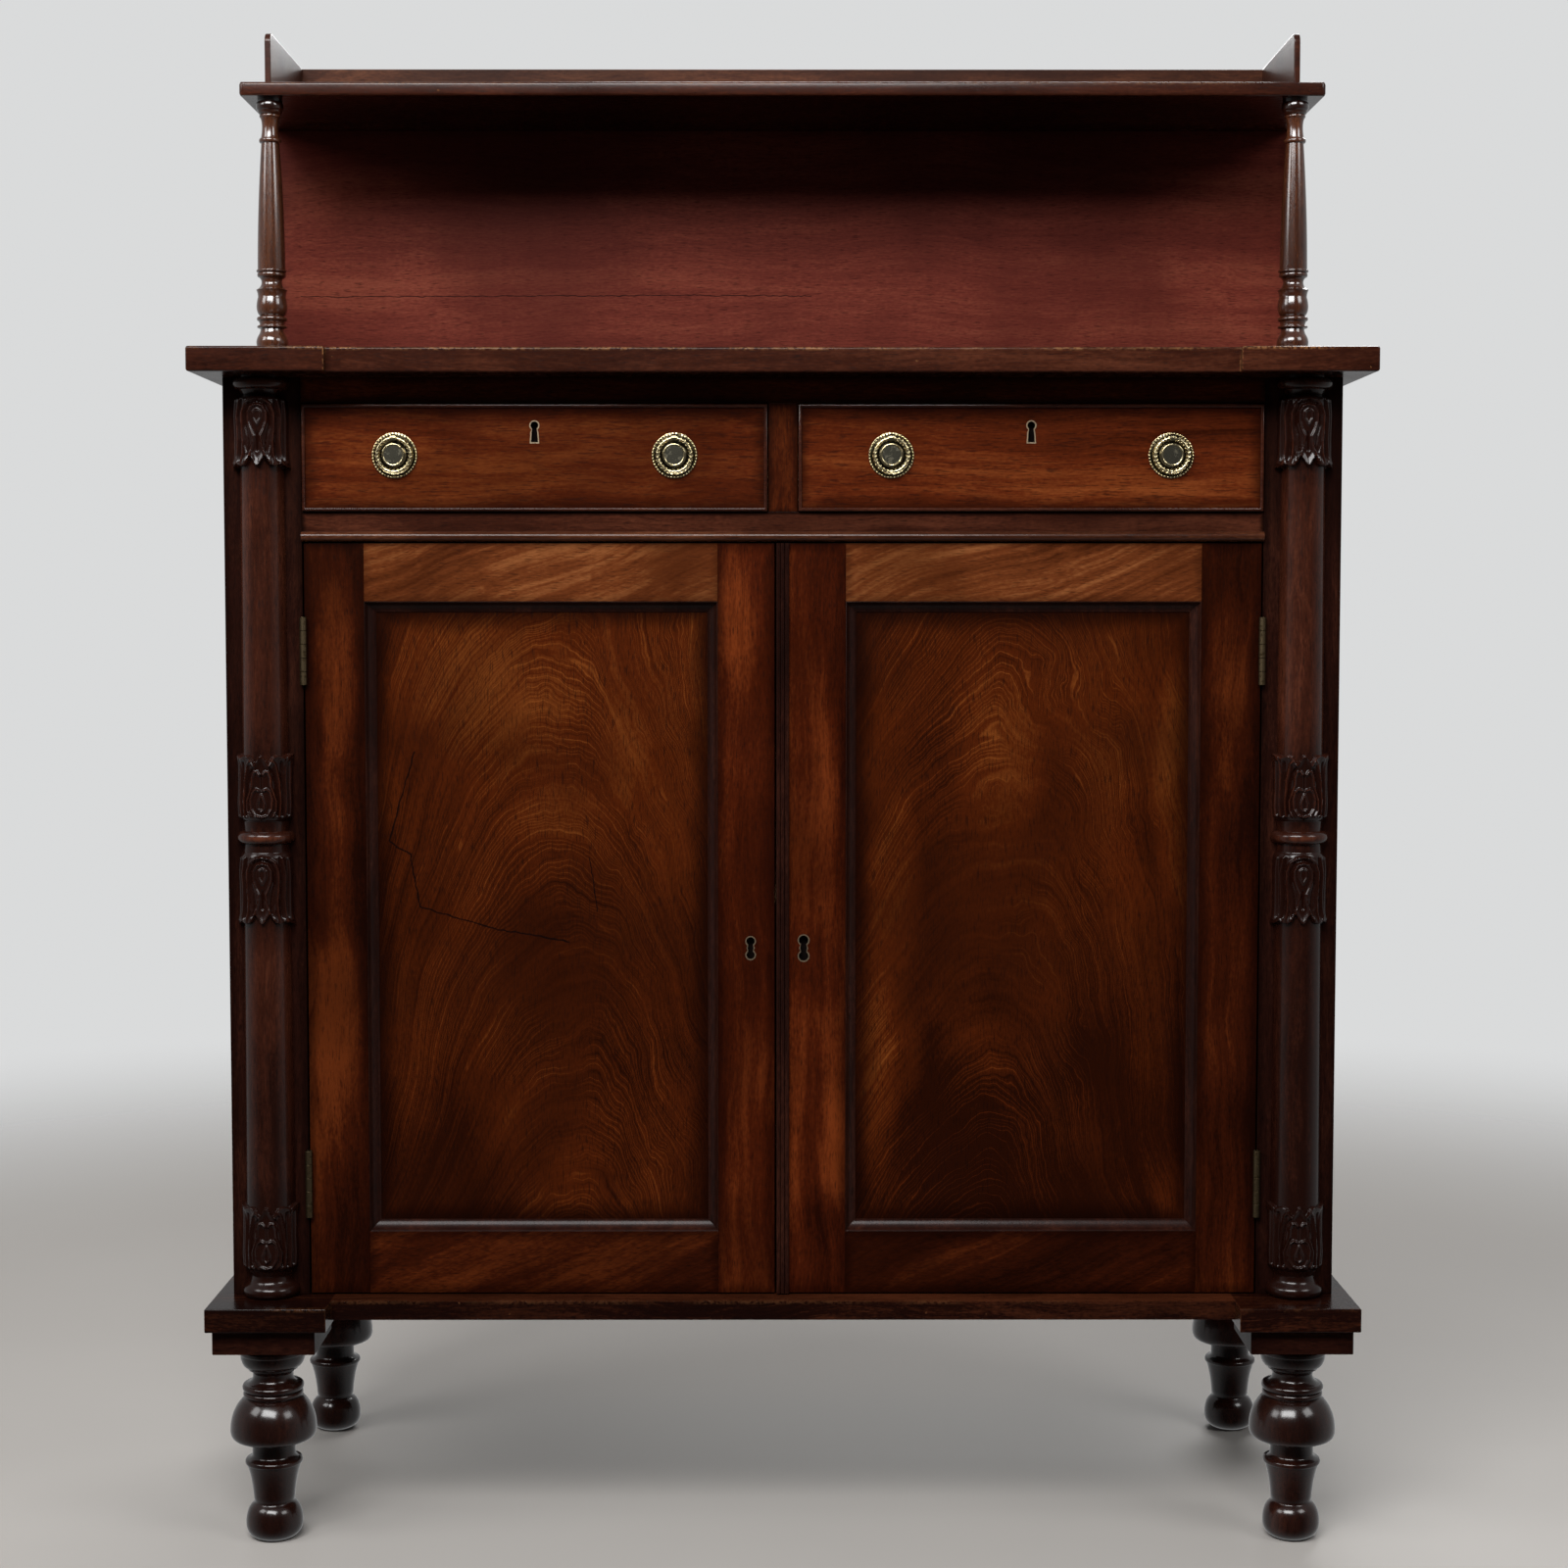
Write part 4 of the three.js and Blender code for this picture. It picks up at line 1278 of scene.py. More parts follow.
RISING: tuple[Ridge, ...] = (
    (1.6, 0.9, ((0.0, 0.06), (0.22, 0.09), (0.36, 0.19), (0.39, 0.33), (0.33, 0.43),
                (0.2, 0.48), (0.08, 0.46))),
    (1.2, 0.8, ((0.0, 0.15), (0.1, 0.19), (0.12, 0.26), (0.0, 0.4))),
    (1.6, 0.9, ((0.07, 0.69), (0.15, 0.74), (0.27, 0.73), (0.34, 0.65), (0.35, 0.53),
                (0.42, 0.44), (0.52, 0.3), (0.51, 0.16), (0.42, 0.08))),
    (1.5, 0.9, ((0.63, 0.07), (0.66, 0.3), (0.63, 0.6), (0.52, 0.84), (0.38, 0.91))),
    (1.2, 0.8, ((0.8, 0.07), (0.84, 0.4), (0.82, 0.7), (0.9, 0.95))),
    (1.0, 0.8, ((0.94, 0.07), (0.95, 0.5), (0.98, 0.93))),
    (-1.3, 0.8, ((0.57, 0.1), (0.59, 0.3), (0.53, 0.55), (0.45, 0.72), (0.3, 0.8))),
    (-1.1, 0.7, ((0.73, 0.08), (0.75, 0.5), (0.72, 0.88))),
    (-0.9, 0.7, ((0.89, 0.1), (0.9, 0.88))),
    (-1.0, 0.9, ((0.0, 0.48), (0.0, 0.68))))


@dataclass(frozen=True)
class LeafBand:
    """A band of carved leaves, by the heights of its root and its tips in millimetres."""

    root: float
    tip: float
    thick: float = 1.3
    ridges: tuple[Ridge, ...] = HANGING
    half_width: float = 22.0
    edge: Line = (
        (0.0, 0.985), (0.08, 0.96), (0.18, 0.89), (0.27, 0.84), (0.35, 0.9), (0.45, 0.96),
        (0.6, 0.985), (0.72, 0.965), (0.8, 0.945), (0.88, 0.975), (1.0, 1.0))

    @staticmethod
    def _from_line(x: np.ndarray, z: np.ndarray, line: Sequence[Pair]
                   ) -> np.ndarray:
        """The distance of each point from a broken line."""
        nearest = np.full(x.shape, np.inf)
        for (x0, z0), (x1, z1) in zip(line, line[1:]):
            along_x, along_z = x1 - x0, z1 - z0
            share = ((x - x0) * along_x + (z - z0) * along_z) / (along_x ** 2 + along_z ** 2)
            share = np.clip(share, 0.0, 1.0)
            gap = np.hypot(x - x0 - share * along_x, z - z0 - share * along_z)
            nearest = np.minimum(nearest, gap)
        return nearest

    def lift(self, turn: np.ndarray, height: np.ndarray) -> tuple[np.ndarray, np.ndarray]:
        """How far the carving stands off the shaft, and how far it is painted darker or lighter.

        Args:
            turn: The angle round the shaft, from -1 to 1 over the half turn.
            height: The height of each point.

        Returns:
            The lift in millimetres, and the paint from 0 with painted shade in a hollow to 1 with
            rubbing and painted highlights on a ridge or lip.
        """
        v = (height - self.root) / (self.tip - self.root)
        across = np.sin(np.abs(turn) * np.pi / 2)
        length = abs(self.tip - self.root)
        x, z = across * self.half_width, v * length
        raised, sunk = np.zeros(v.shape), np.zeros(v.shape)
        for rise, width, line in self.ridges:
            scaled = [(a * self.half_width, b * length) for a, b in line]
            crest = rise * np.exp(-(self._from_line(x, z, scaled) / width) ** 2)
            raised, sunk = np.maximum(raised, crest), np.minimum(sunk, crest)
        relief = raised + sunk
        tips = np.interp(across, *np.array(self.edge).T)
        inside = np.clip(v, 0.0, 1.0)
        belly = 0.7 * np.exp(-((inside - 0.26) / 0.17) ** 2)
        flare = 2.4 * np.exp(-((tips - v) / 0.09) ** 2)
        # A painted highlight along the lip of each leaf's edge.
        lip_highlight = np.exp(-(((tips - v) * length - 0.9) / 0.9) ** 2)
        shape = self.thick + belly + flare + relief * 1.35
        start = np.clip(v / 0.06, 0, 1) ** 0.7
        end = np.clip((tips - v) / 0.012, 0, 1) ** 0.5
        within = (v > 0) & (v < tips)
        lifted = np.where(within, np.clip(shape, 0.1, self.thick + 4.3) * start * end, 0.0)
        # Low hollows get painted shade; ridges and lips get rubbing and painted highlights.
        rubbed_and_painted_light = np.where(within, np.clip(0.08 + relief * 0.24 + lip_highlight * 0.4, 0.0, 0.7), 0.5)
        return lifted, rubbed_and_painted_light


@dataclass
class HalfColumn:
    """A half-round column with rings and four bands of carved leaves."""

    foot: float = 224.0
    top: float = 1053.0
    low_radius: float = 22.8
    high_radius: float = 19.2
    ring_radius: float = 26.0
    steps: int = 132
    fine: float = 0.52
    bands: tuple[LeafBand, ...] = (
        LeafBand(249.5, 310.0, 1.3, RISING), LeafBand(628.5, 563.5, 2.0),
        LeafBand(657.0, 717.5, 2.6, RISING), LeafBand(1036.0, 971.5, 3.9))
    rings: tuple[tuple[float, float, float, float], ...] = (
        (642.0, 5.8, 26.0, 0.5), (1046.6, 5.4, 25.6, 0.12))
    necks: Line = ((636.0, 9.0), (648.5, 9.0), (1039.5, 6.0))
    neck_depth: float = 2.6
    neck_half: float = 4.0
    neck_dark: float = 0.3
    plinth: Pair = (235.8, 252.0)
    plinth_radius: float = 18.9
    flare: float = 7.1
    flare_half: float = 1.6
    tuck: float = 3.6
    tuck_height: float = 6.0
    settled: float = 8.0
    band_dark: float = 0.16
    band_reach: float = 16.0
    plain_wear: float = 0.5
    least_wear: float = 0.14

    def heights(self) -> np.ndarray:
        """The rows of the surface, close together where there is carving."""
        rows = [np.array([self.foot, self.top])]
        for band in self.bands:
            low, high = sorted((band.root, band.tip))
            rows.append(np.arange(low - 1.2, high + 1.2, self.fine))
        for centre, half, *_ in self.rings:
            rows.append(centre + half * np.sin(np.radians(np.linspace(-90, 90, 15))))
        rows.append(np.arange(self.foot, self.plinth[1], 0.7))
        rows.append(np.arange(self.foot, self.top, 28.0))
        every = np.unique(np.round(np.concatenate(rows), 3))
        return every[(every >= self.foot) & (every <= self.top)]

    def build(self, shop: Workshop, side: Side) -> None:
        """Carves one column in place of its node.

        Args:
            shop: The workshop.
            side: The hand.
        """
        node = f"column_{side.word}"
        low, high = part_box(node)
        centre_x, face_y = (low.x + high.x) / 2, high.y
        heights = self.heights()
        turns = np.linspace(-1.0, 1.0, self.steps + 1)
        turn, height = np.meshgrid(turns, heights)
        share = (height - self.foot) / (self.top - self.foot)
        radius = self.low_radius + (self.high_radius - self.low_radius) * share
        wear = np.full(radius.shape, self.plain_wear)
        # The necks are painted darker: painted shade in the grooves.
        for centre, half in self.necks:
            wear -= self.neck_dark * np.exp(-((height - centre) / half) ** 2)
            radius -= self.neck_depth * np.exp(-((height - centre) / self.neck_half) ** 2)
        middle, above = self.plinth
        tucked = np.clip((self.foot + self.tuck_height - height) / self.tuck_height, 0.0, 1.0)
        flared = self.plinth_radius + self.flare \
            / (1 + np.exp((height - middle) / self.flare_half)) - self.tuck * tucked ** 2
        blend = np.clip((height - middle - self.settled) / (above - middle - self.settled),
                        0.0, 1.0)
        radius = np.where(height < above, flared * (1 - blend) + radius * blend, radius)
        # Painted shade where each band of leaves meets the shaft and rings.
        for band in self.bands:
            gap = np.minimum(abs(height - band.root), abs(height - band.tip))
            wear -= self.band_dark * np.exp(-(gap / self.band_reach) ** 2)
        wear = np.clip(wear, self.least_wear, self.plain_wear)
        for band in self.bands:
            lifted, rubbed_and_painted_light = band.lift(turn, height)
            radius = radius + lifted
            wear = np.minimum(wear, rubbed_and_painted_light) + np.clip(rubbed_and_painted_light - self.plain_wear, 0.0, None)
        # Each ring's front is painted lighter: rubbing and a painted highlight towards the lamps.
        for centre, half, reach, worn_and_lit in self.rings:
            inside = np.clip(half ** 2 - (height - centre) ** 2, 0.0, None)
            radius = np.maximum(radius, np.where(inside > 0, reach - half + np.sqrt(inside), 0.0))
            rubbed_and_painted_light = np.clip((radius - reach + 1.4) / 1.4, 0.0, 1.0) * np.cos(turn * np.pi / 2)
            wear = np.where(inside > 0, 0.38 + worn_and_lit * rubbed_and_painted_light ** 2, wear)
        # The plinth is painted darker: painted shade at the column's foot.
        wear = np.where(height < middle + 6.0, 0.36, wear)
        radius = np.minimum(radius, self.ring_radius)
        angle = turn * np.pi / 2
        points = np.stack([centre_x + radius * np.sin(angle) * MM,
                           face_y - radius * np.cos(angle) * MM, height * MM], axis=-1)
        rows, across = turn.shape
        points[:, 0, 1] = face_y
        points[:, -1, 1] = face_y
        faces = ring_faces(rows, across)
        faces += [tuple(range(across)), tuple(range((rows - 1) * across, rows * across))]
        piece = mesh_object(f"{node}_carved", points.reshape(-1, 3), faces, 50.0, wear.ravel())
        # The foot is painted darker: painted shade as the light falls off towards the floor.
        finish = CarvedMahogany(**UMBER, run=Run.HEIGHT, roughness=0.24, coat=0.34, gloss=0.1,
                                edge_dark=0.0, patch=0.5,
                                glows=(Glow(centre_x, self.foot * MM, 9.0, 0.45, -0.32),))
        shop.fit(piece, "carcase", "dark_mahogany", finish.dress(f"{node}_finish", 31), node)


@dataclass
class Spindle:
    """A turned post between the top board and the upper shelf."""

    @staticmethod
    def outline() -> list[Pair]:
        """The spindle's outline, from the top board up."""
        post = Turning(15.2, 0.0)
        post.bead(9.0, 0.9, 8).to(13.0, 9.6).to(13.0, 15.4).sweep(14.8, 27.5, (13.4, 22.0), 8)
        post.sweep(13.2, 38.6, (16.6, 33.0), 10).sweep(11.2, 44.4, (11.6, 41.0), 5)
        post.to(12.2, 45.0).bead(48.0, 2.4, 8).to(12.0, 49.6).to(13.0, 52.0)
        post.bead(56.2, 1.8, 8).to(11.6, 57.0).sweep(14.9, 66.0, (14.8, 59.6), 8)
        post.sweep(13.4, 75.0, (14.6, 71.6), 6).sweep(15.0, 82.0, (13.4, 79.4), 6)
        post.to(13.4, 83.0).sweep(9.8, 89.6, (10.0, 85.4), 6).sweep(12.9, 94.4, (10.0, 93.0), 5)
        post.bead(98.4, 1.0, 6).to(13.4, 98.8).bead(101.6, 1.3, 6)
        post.sweep(8.6, 222.6, (13.0, 160.0), 14).to(9.0, 222.8).bead(227.4, 1.7, 8)
        post.sweep(7.7, 237.2, (8.0, 230.0), 6).sweep(9.2, 247.0, (7.6, 243.6), 6)
        post.bead(250.0, 0.9, 6).sweep(11.8, 253.8, (11.4, 250.4), 6).bead(262.0, 1.3, 8)
        post.to(12.0, 265.0)
        return post.metres()

    def build(self, shop: Workshop, side: Side) -> None:
        """Turns one spindle in place of its node."""
        node = f"spindle_{side.word}"
        low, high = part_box(node)
        centre = ((low.x + high.x) / 2, (low.y + high.y) / 2, low.z)
        piece = turned(f"{node}_turned", self.outline(), centre, 64)
        # Painted shade at both ends, under the shelf and over the top board.
        shaded_ends = (Glow(centre[0], high.z, 1.0, 17 * MM, -0.6),
                Glow(centre[0], low.z, 1.0, 30 * MM, -0.25))
        finish = Mahogany(**NUTBROWN, run=Run.HEIGHT, roughness=0.16, coat=1.0, gloss=0.3,
                          streak=0.3, edge_dark=0.0, glows=shaded_ends)
        shop.fit(piece, "carcase", "mahogany", finish.dress(f"{node}_finish", 12), node)


@dataclass
class Case:
    """The fixed woodwork: base, sides, pilasters, rails, linings, top and gallery."""

    ease: float = 0.8 * MM
    back_boards: int = 6
    bead_proud: float = 6 * MM
    bead_height: float = 9 * MM
    top_step: float = 400 * MM
    base_step: float = 407.5 * MM

    def build(self, shop: Workshop) -> None:
        """Builds every fixed board.

        Args:
            shop: The workshop.
        """
        self._polished(shop)
        self._linings(shop)
        self._top(shop)
        self._gallery(shop)

    def _polished(self, shop: Workshop) -> None:
        """The base, sides, pilasters and rails."""
        low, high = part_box("base_board")
        base = TopPolish(**BASE_BLACK, roughness=0.24, coat=0.2, gloss=0.06, edge_dark=0.0,
                         top=high.z, front=low.y, step=self.base_step, recess=28 * MM,
                         wear=0.4, lid=0.26, bare=(0.11, 0.042, 0.016))
        shop.board("base_board", "dark_mahogany", base, 1.9 * MM, 3, False, 3)
        rail = Mahogany(**DEEP, edge_width=7 * MM)
        shop.board("top_rail", "mahogany", rail, 0.5 * MM, 7)
        self._mid_rail(shop)
        upright = Mahogany(**DEEP, run=Run.HEIGHT, edge_width=7 * MM)
        shop.board("muntin", "mahogany", upright, 0.4 * MM, 9)
        for side in Side:
            pillar = Mahogany(**BLACKENED, run=Run.HEIGHT, edge_width=9 * MM)
            shop.board(f"pilaster_{side.word}", "dark_mahogany", pillar, 0.6 * MM,
                       11 + side.value)
            panel = Mahogany(**DEEP, run=Run.HEIGHT, edge_dark=0.0, patch=0.8)
            shop.board(f"carcase_side_{side.word}", "mahogany", panel, self.ease,
                       15 + side.value, False)

    def _mid_rail(self, shop: Workshop) -> None:
        """The rail below the drawers and the round bead along its lower edge."""
        low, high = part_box("mid_rail")
        face = low.y + self.bead_proud
        # The rail's dark edges are mostly painted shadow under the drawers' cock beads, with some
        # old polish.
        finish = Mahogany(**UMBER, patch=0.8, edge_dark=0.92, edge_width=6 * MM)
        material = finish.dress("mid_rail_finish", 8, (low, high))
        rail = blocks("mid_rail_timber", [((low.x, face, low.z), (high.x, high.y, high.z))],
                      0.4 * MM)
        shop.fit(rail, "carcase", "mahogany", material, "mid_rail")
        half = self.bead_height / 2
        outline = [(face + 0.5 * MM, low.z),
                   *arc((face, low.z + half), (self.bead_proud, half), 270, 90, 12),
                   (face + 0.5 * MM, low.z + 2 * half)]
        bead = prism("mid_rail_bead", outline, low.x, high.x, 0)
        shine = Mahogany(**NUTBROWN, roughness=0.2, coat=0.25, gloss=0.1, edge_dark=0.0)
        shop.fit(bead, "carcase", "mahogany", shine.dress("mid_rail_bead_finish", 8))

    def _linings(self, shop: Workshop) -> None:
        """The back, dustboard, drawer guide and cupboard shelf, in bare softwood."""
        low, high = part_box("carcase_back")
        width = (high.x - low.x) / self.back_boards
        boards = [((low.x + i * width, low.y, low.z), (low.x + (i + 1) * width, high.y, high.z))
                  for i in range(self.back_boards)]
        back = blocks("carcase_back_boards", boards, 1.2 * MM)
        upright = Pine(run=Run.HEIGHT)
        shop.fit(back, "carcase", "pine", upright.dress("back_finish", 2), "carcase_back")
        for seed, node in enumerate(("dustboard", "drawer_guide", "cupboard_shelf")):
            run = Run.DEPTH if node == "drawer_guide" else Run.WIDTH
            piece = eased(shop.nodes, node, self.ease)
            shop.fit(piece, "carcase", "pine", Pine(run=run).dress(f"{node}_finish", seed + 4),
                     node)

    def _top(self, shop: Workshop) -> None:
        """The top board, which stands forward at both ends."""
        low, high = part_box("top_board")
        finish = TopPolish(**UMBER, roughness=0.26, coat=0.15, gloss=0.06, edge_dark=0.0,
                           patch=0.7, top=high.z, front=low.y, step=self.top_step,
                           recess=9 * MM, wear=1.0)
        shop.board("top_board", "dark_mahogany", finish, 0.5 * MM, 21, False)

    def _gallery(self, shop: Workshop) -> None:
        """The backboard, upper shelf, gallery rail and gallery ends."""
        split = Crack(((-0.497, 1.1705), (-0.3, 1.1712), (-0.1, 1.1722), (0.03, 1.1716)),
                      0.35 * MM)
        back = Mahogany(**RED, roughness=0.45, gloss=0.03, edge_dark=0.25, edge_width=9 * MM,
                        streak=0.35, patch=0.45, cracks=(split,))
        shop.board("backboard", "red_mahogany", back, 0.5 * MM, 24)
        low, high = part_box("upper_shelf")
        shelf = TopPolish(**UMBER, roughness=0.22, coat=0.4, gloss=0.1, edge_dark=0.0,
                          top=high.z, front=low.y, wear=0.35)
        shop.board("upper_shelf", "mahogany", shelf, 5.0 * MM, 26, False, 5)
        rail = Mahogany(**NUTBROWN, roughness=0.42, coat=0.02, gloss=0.07, edge_dark=0.2)
        shop.board("gallery_rail", "mahogany", rail, 1.2 * MM, 27)
        end = Mahogany(**UMBER, roughness=0.3, coat=0.2, gloss=0.1, edge_dark=0.0)
        for side in Side:
            shop.board(f"gallery_end_{side.word}", "mahogany", end, 1.2 * MM, 29)


@dataclass
class PanelDoor:
    """A framed door with a sunk panel of figured veneer and a moulding round it."""

    side: Side
    spine: float
    drift: float
    glows: tuple[Glow, ...]
    stile_glows: tuple[Glow, ...]
    cracks: tuple[Crack, ...] = ()
    swirls: tuple[tuple[float, float, float, float], ...] = ()
    moulding_width: float = 9.5
    moulding_depth: float = 8.5

    @property
    def body(self) -> str:
        """The body that the door is."""
        return f"door_{self.side.word}"

    def moulding(self) -> list[Pair]:
        """The moulding's closed outline, as inset and depth."""
        wide, deep = self.moulding_width, self.moulding_depth
        outline = [(0.0, 0.5), (0.15, 0.1), (0.45, 0.0), (0.75, 0.12), (0.9, 0.5), (0.98, 1.15)]
        start, bend, end = (1.15, 1.3), (3.0, 5.6), (wide - 0.9, deep - 0.75)
        outline += curve(start, bend, end, 12)
        outline += [(wide - 0.35, deep - 0.62), (wide - 0.05, deep - 0.3), (wide, deep),
                    (wide, deep + 0.2), (0.0, deep + 0.2)]
        return [(inset * MM, depth * MM) for inset, depth in outline]

    def build(self, shop: Workshop) -> None:
        """Builds the door's frame, panel and moulding.

        Args:
            shop: The workshop.
        """
        word = self.side.word
        seed = 40 + 10 * self.side.value
        frame = {"hinge_stile": Mahogany(**DEEP, run=Run.HEIGHT, patch=1.1, edge_width=13 * MM,
                                         glows=self.stile_glows),
                 "meeting_stile": Mahogany(**RUSSET, run=Run.HEIGHT, patch=0.9,
                                           edge_width=13 * MM, glows=self.stile_glows),
                 "bottom_rail": Mahogany(**DEEP, patch=0.8, lean=25.0, edge_width=12 * MM),
                 "top_rail": Mahogany(**HONEY, patch=0.8, lean=22.0, streak=1.0,
                                      edge_dark=0.4, edge_width=8 * MM)}
        for step, (part, finish) in enumerate(frame.items()):
            node = f"door_{part}_{word}"
            piece = eased(shop.nodes, node, 0.35 * MM)
            if part == "meeting_stile":
                carve(piece, DOOR_LOCKS[self.side].cutter())
            material = finish.dress(f"{node}_finish", seed + step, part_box(node))
            shop.fit(piece, self.body, "mahogany", material, node)
        self._panel(shop, seed)

    def _panel(self, shop: Workshop, seed: int) -> None:
        """The panel and its moulding.

        Args:
            shop: The workshop.
            seed: Which part of the timber it was cut from.
        """
        node = f"door_panel_{self.side.word}"
        low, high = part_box(node)
        face = low.y
        field = blocks(f"{node}_veneer", [((low.x, face + self.moulding_depth * MM, low.z),
                                           (high.x, high.y, high.z))], 0.0)
        # The field darkens towards the moulding: painted shadow of the moulding, with old polish.
        flame = Flame(**PANEL, run=Run.HEIGHT, spine=self.spine, glows=self.glows,
                      swirls=self.swirls, drift=self.drift, fleck=0.3, edge_dark=0.75,
                      edge_width=22 * MM, cracks=self.cracks)
        inner = self.moulding_width * MM
        edge = (Vector((low.x + inner, 0, low.z + inner)),
                Vector((high.x - inner, 0, high.z - inner)))
        shop.fit(field, self.body, "flame_mahogany", flame.dress(f"{node}_finish", seed, edge),
                 node)
        moulding = f"door_moulding_{self.side.word}"
        frame = mitred(moulding, (low.x, low.z, high.x, high.z), face - 0.3 * MM,
                       self.moulding())
        finish = Mahogany(**BLACKENED, run=Run.HEIGHT, roughness=0.32, coat=0.06, gloss=0.09,
                          edge_dark=0.0)
        shop.fit(frame, self.body, "flame_mahogany",
                 finish.dress(f"{moulding}_finish", seed + 3))


LEFT_CRACKS = (
    Crack(((-0.333, 0.7178), (-0.3562, 0.6372), (-0.3372, 0.6244), (-0.3287, 0.5775),
           (-0.2653, 0.5583), (-0.1935, 0.5457))),
    Crack(((-0.1752, 0.6224), (-0.1715, 0.599), (-0.168, 0.5734)), 0.4 * MM))
LEFT_GLOWS = (
    Glow(-0.21, 0.76, 0.13, 0.16, 0.24), Glow(-0.1, 0.74, 0.06, 0.2, 0.16),
    Glow(-0.3, 0.79, 0.07, 0.09, 0.16), Glow(-0.24, 0.56, 0.12, 0.14, 0.08),
    Glow(-0.34, 0.33, 0.12, 0.12, -0.16), Glow(-0.1, 0.31, 0.09, 0.09, -0.14))
RIGHT_GLOWS = (
    Glow(0.2, 0.7, 0.05, 0.15, 0.22), Glow(0.31, 0.76, 0.08, 0.12, 0.18),
    Glow(0.1, 0.6, 0.03, 0.1, 0.22), Glow(0.36, 0.66, 0.03, 0.16, 0.24),
    Glow(0.15, 0.8, 0.05, 0.08, 0.12), Glow(0.085, 0.44, 0.025, 0.14, 0.2),
    Glow(0.2, 0.34, 0.2, 0.14, -0.15), Glow(0.33, 0.5, 0.08, 0.2, -0.08),
    Glow(0.16, 0.5, 0.06, 0.1, -0.1))
LEFT_STILES = (
    Glow(-0.4, 0.79, 0.024, 0.1, 0.3), Glow(-0.4, 0.6, 0.04, 0.07, -0.16),
    Glow(-0.402, 0.47, 0.024, 0.1, 0.26), Glow(-0.4, 0.27, 0.05, 0.09, -0.25),
    Glow(-0.04, 0.82, 0.03, 0.06, 0.14), Glow(-0.035, 0.6, 0.04, 0.2, -0.12),
    Glow(-0.035, 0.32, 0.04, 0.12, -0.2))
RIGHT_STILES = (
    Glow(0.038, 0.7, 0.022, 0.13, 0.36), Glow(0.03, 0.53, 0.04, 0.06, -0.3),
    Glow(0.045, 0.36, 0.018, 0.07, 0.24), Glow(0.03, 0.27, 0.04, 0.06, -0.2),
    Glow(0.402, 0.76, 0.022, 0.13, 0.3), Glow(0.4, 0.33, 0.04, 0.14, -0.22))


@dataclass
class Astragal:
    """The reeded strip down the right door's meeting edge."""

    reeds: int = 3
    steps: int = 10

    def build(self, shop: Workshop) -> None:
        """Builds the strip in place of its node."""
        low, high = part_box("astragal")
        radius = (high.x - low.x) / self.reeds / 2
        outline = [(low.x, high.y)]
        for reed in range(self.reeds):
            centre = (low.x + radius * (2 * reed + 1), low.y + radius)
            outline += arc(centre, (radius, radius), 180, 360, self.steps)
        outline.append((high.x, high.y))
        strip = prism("astragal_reeds", outline, low.z, high.z, 2)
        finish = Mahogany(**BLACKENED, run=Run.HEIGHT, roughness=0.25, coat=0.25, edge_dark=0.0)
        shop.fit(strip, "door_right", "dark_mahogany", finish.dress("astragal_finish", 61),
                 "astragal")


@dataclass
class KeyPlate:
    """A keyhole with a thin brass lining let into the wood."""

    name: str
    body: str
    x: float
    z: float
    face: float
    height: float
    square_foot: bool = False
    rim: float = 1.1 * MM
    depth: float = 9 * MM

    def outline(self, grow: float = 0.0) -> list[Pair]:
        """The keyhole's outline in X and Z.

        Args:
            grow: How far outside the hole the outline runs.

        Returns:
            The corners.
        """
        head = self.height * 0.19 + grow
        waist = self.height * 0.135 + grow
        foot = self.height * (0.17 if self.square_foot else 0.19) + grow
        top = self.z + self.height / 2 - self.height * 0.19
        low = self.z - self.height / 2 + (0.0 if self.square_foot else self.height * 0.185)
        points = arc((self.x, top), (head, head), -55, 235, 16)
        if self.square_foot:
            side = [(self.x - waist, top - self.height * 0.32), (self.x - foot, low - grow)]
            mirror = [(self.x + foot, low - grow), (self.x + waist, top - self.height * 0.32)]
            return points + side + mirror
        points.append((self.x - waist, (top + low) / 2))
        points += arc((self.x, low), (foot, foot), 125, 415, 16)
        points.append((self.x + waist, (top + low) / 2))
        return points

    def cutter(self) -> Piece:
        """The shape that is cut from the wood for the lining."""
        return prism(f"{self.name}_cutter", self.outline(self.rim), self.face - 5 * MM,
                     self.face + self.depth)

    def build(self, shop: Workshop) -> None:
        """Fits the lining, and a sheet of painted shade at the bottom of the hole.

        Args:
            shop: The workshop.
        """
        lining = prism(f"{self.name}_lining", self.outline(self.rim - 0.05 * MM),
                       self.face - 0.15 * MM, self.face + 3 * MM)
        carve(lining, prism(f"{self.name}_hole", self.outline(), self.face - 5 * MM,
                            self.face + 6 * MM))
        shop.fit(lining, self.body, "brass", PALE_BRASS.dress(f"{self.name}_lining_finish"))
        # A dark sheet of painted shade at the hole's bottom.
        bottom = prism(f"{self.name}_dark", self.outline(self.rim - 0.1 * MM),
                       self.face + self.depth - 1.5 * MM, self.face + self.depth - 0.2 * MM)
        shop.fit(bottom, self.body, "iron", Void().dress(f"{self.name}_dark_finish"))


DOOR_LOCKS = {
    Side.LEFT: KeyPlate("key_plate_left_door", "door_left", -29.2 * MM, 541 * MM, -164 * MM,
                        20 * MM),
    Side.RIGHT: KeyPlate("key_plate_right_door", "door_right", 18.7 * MM, 541 * MM, -164 * MM,
                         23 * MM),
}


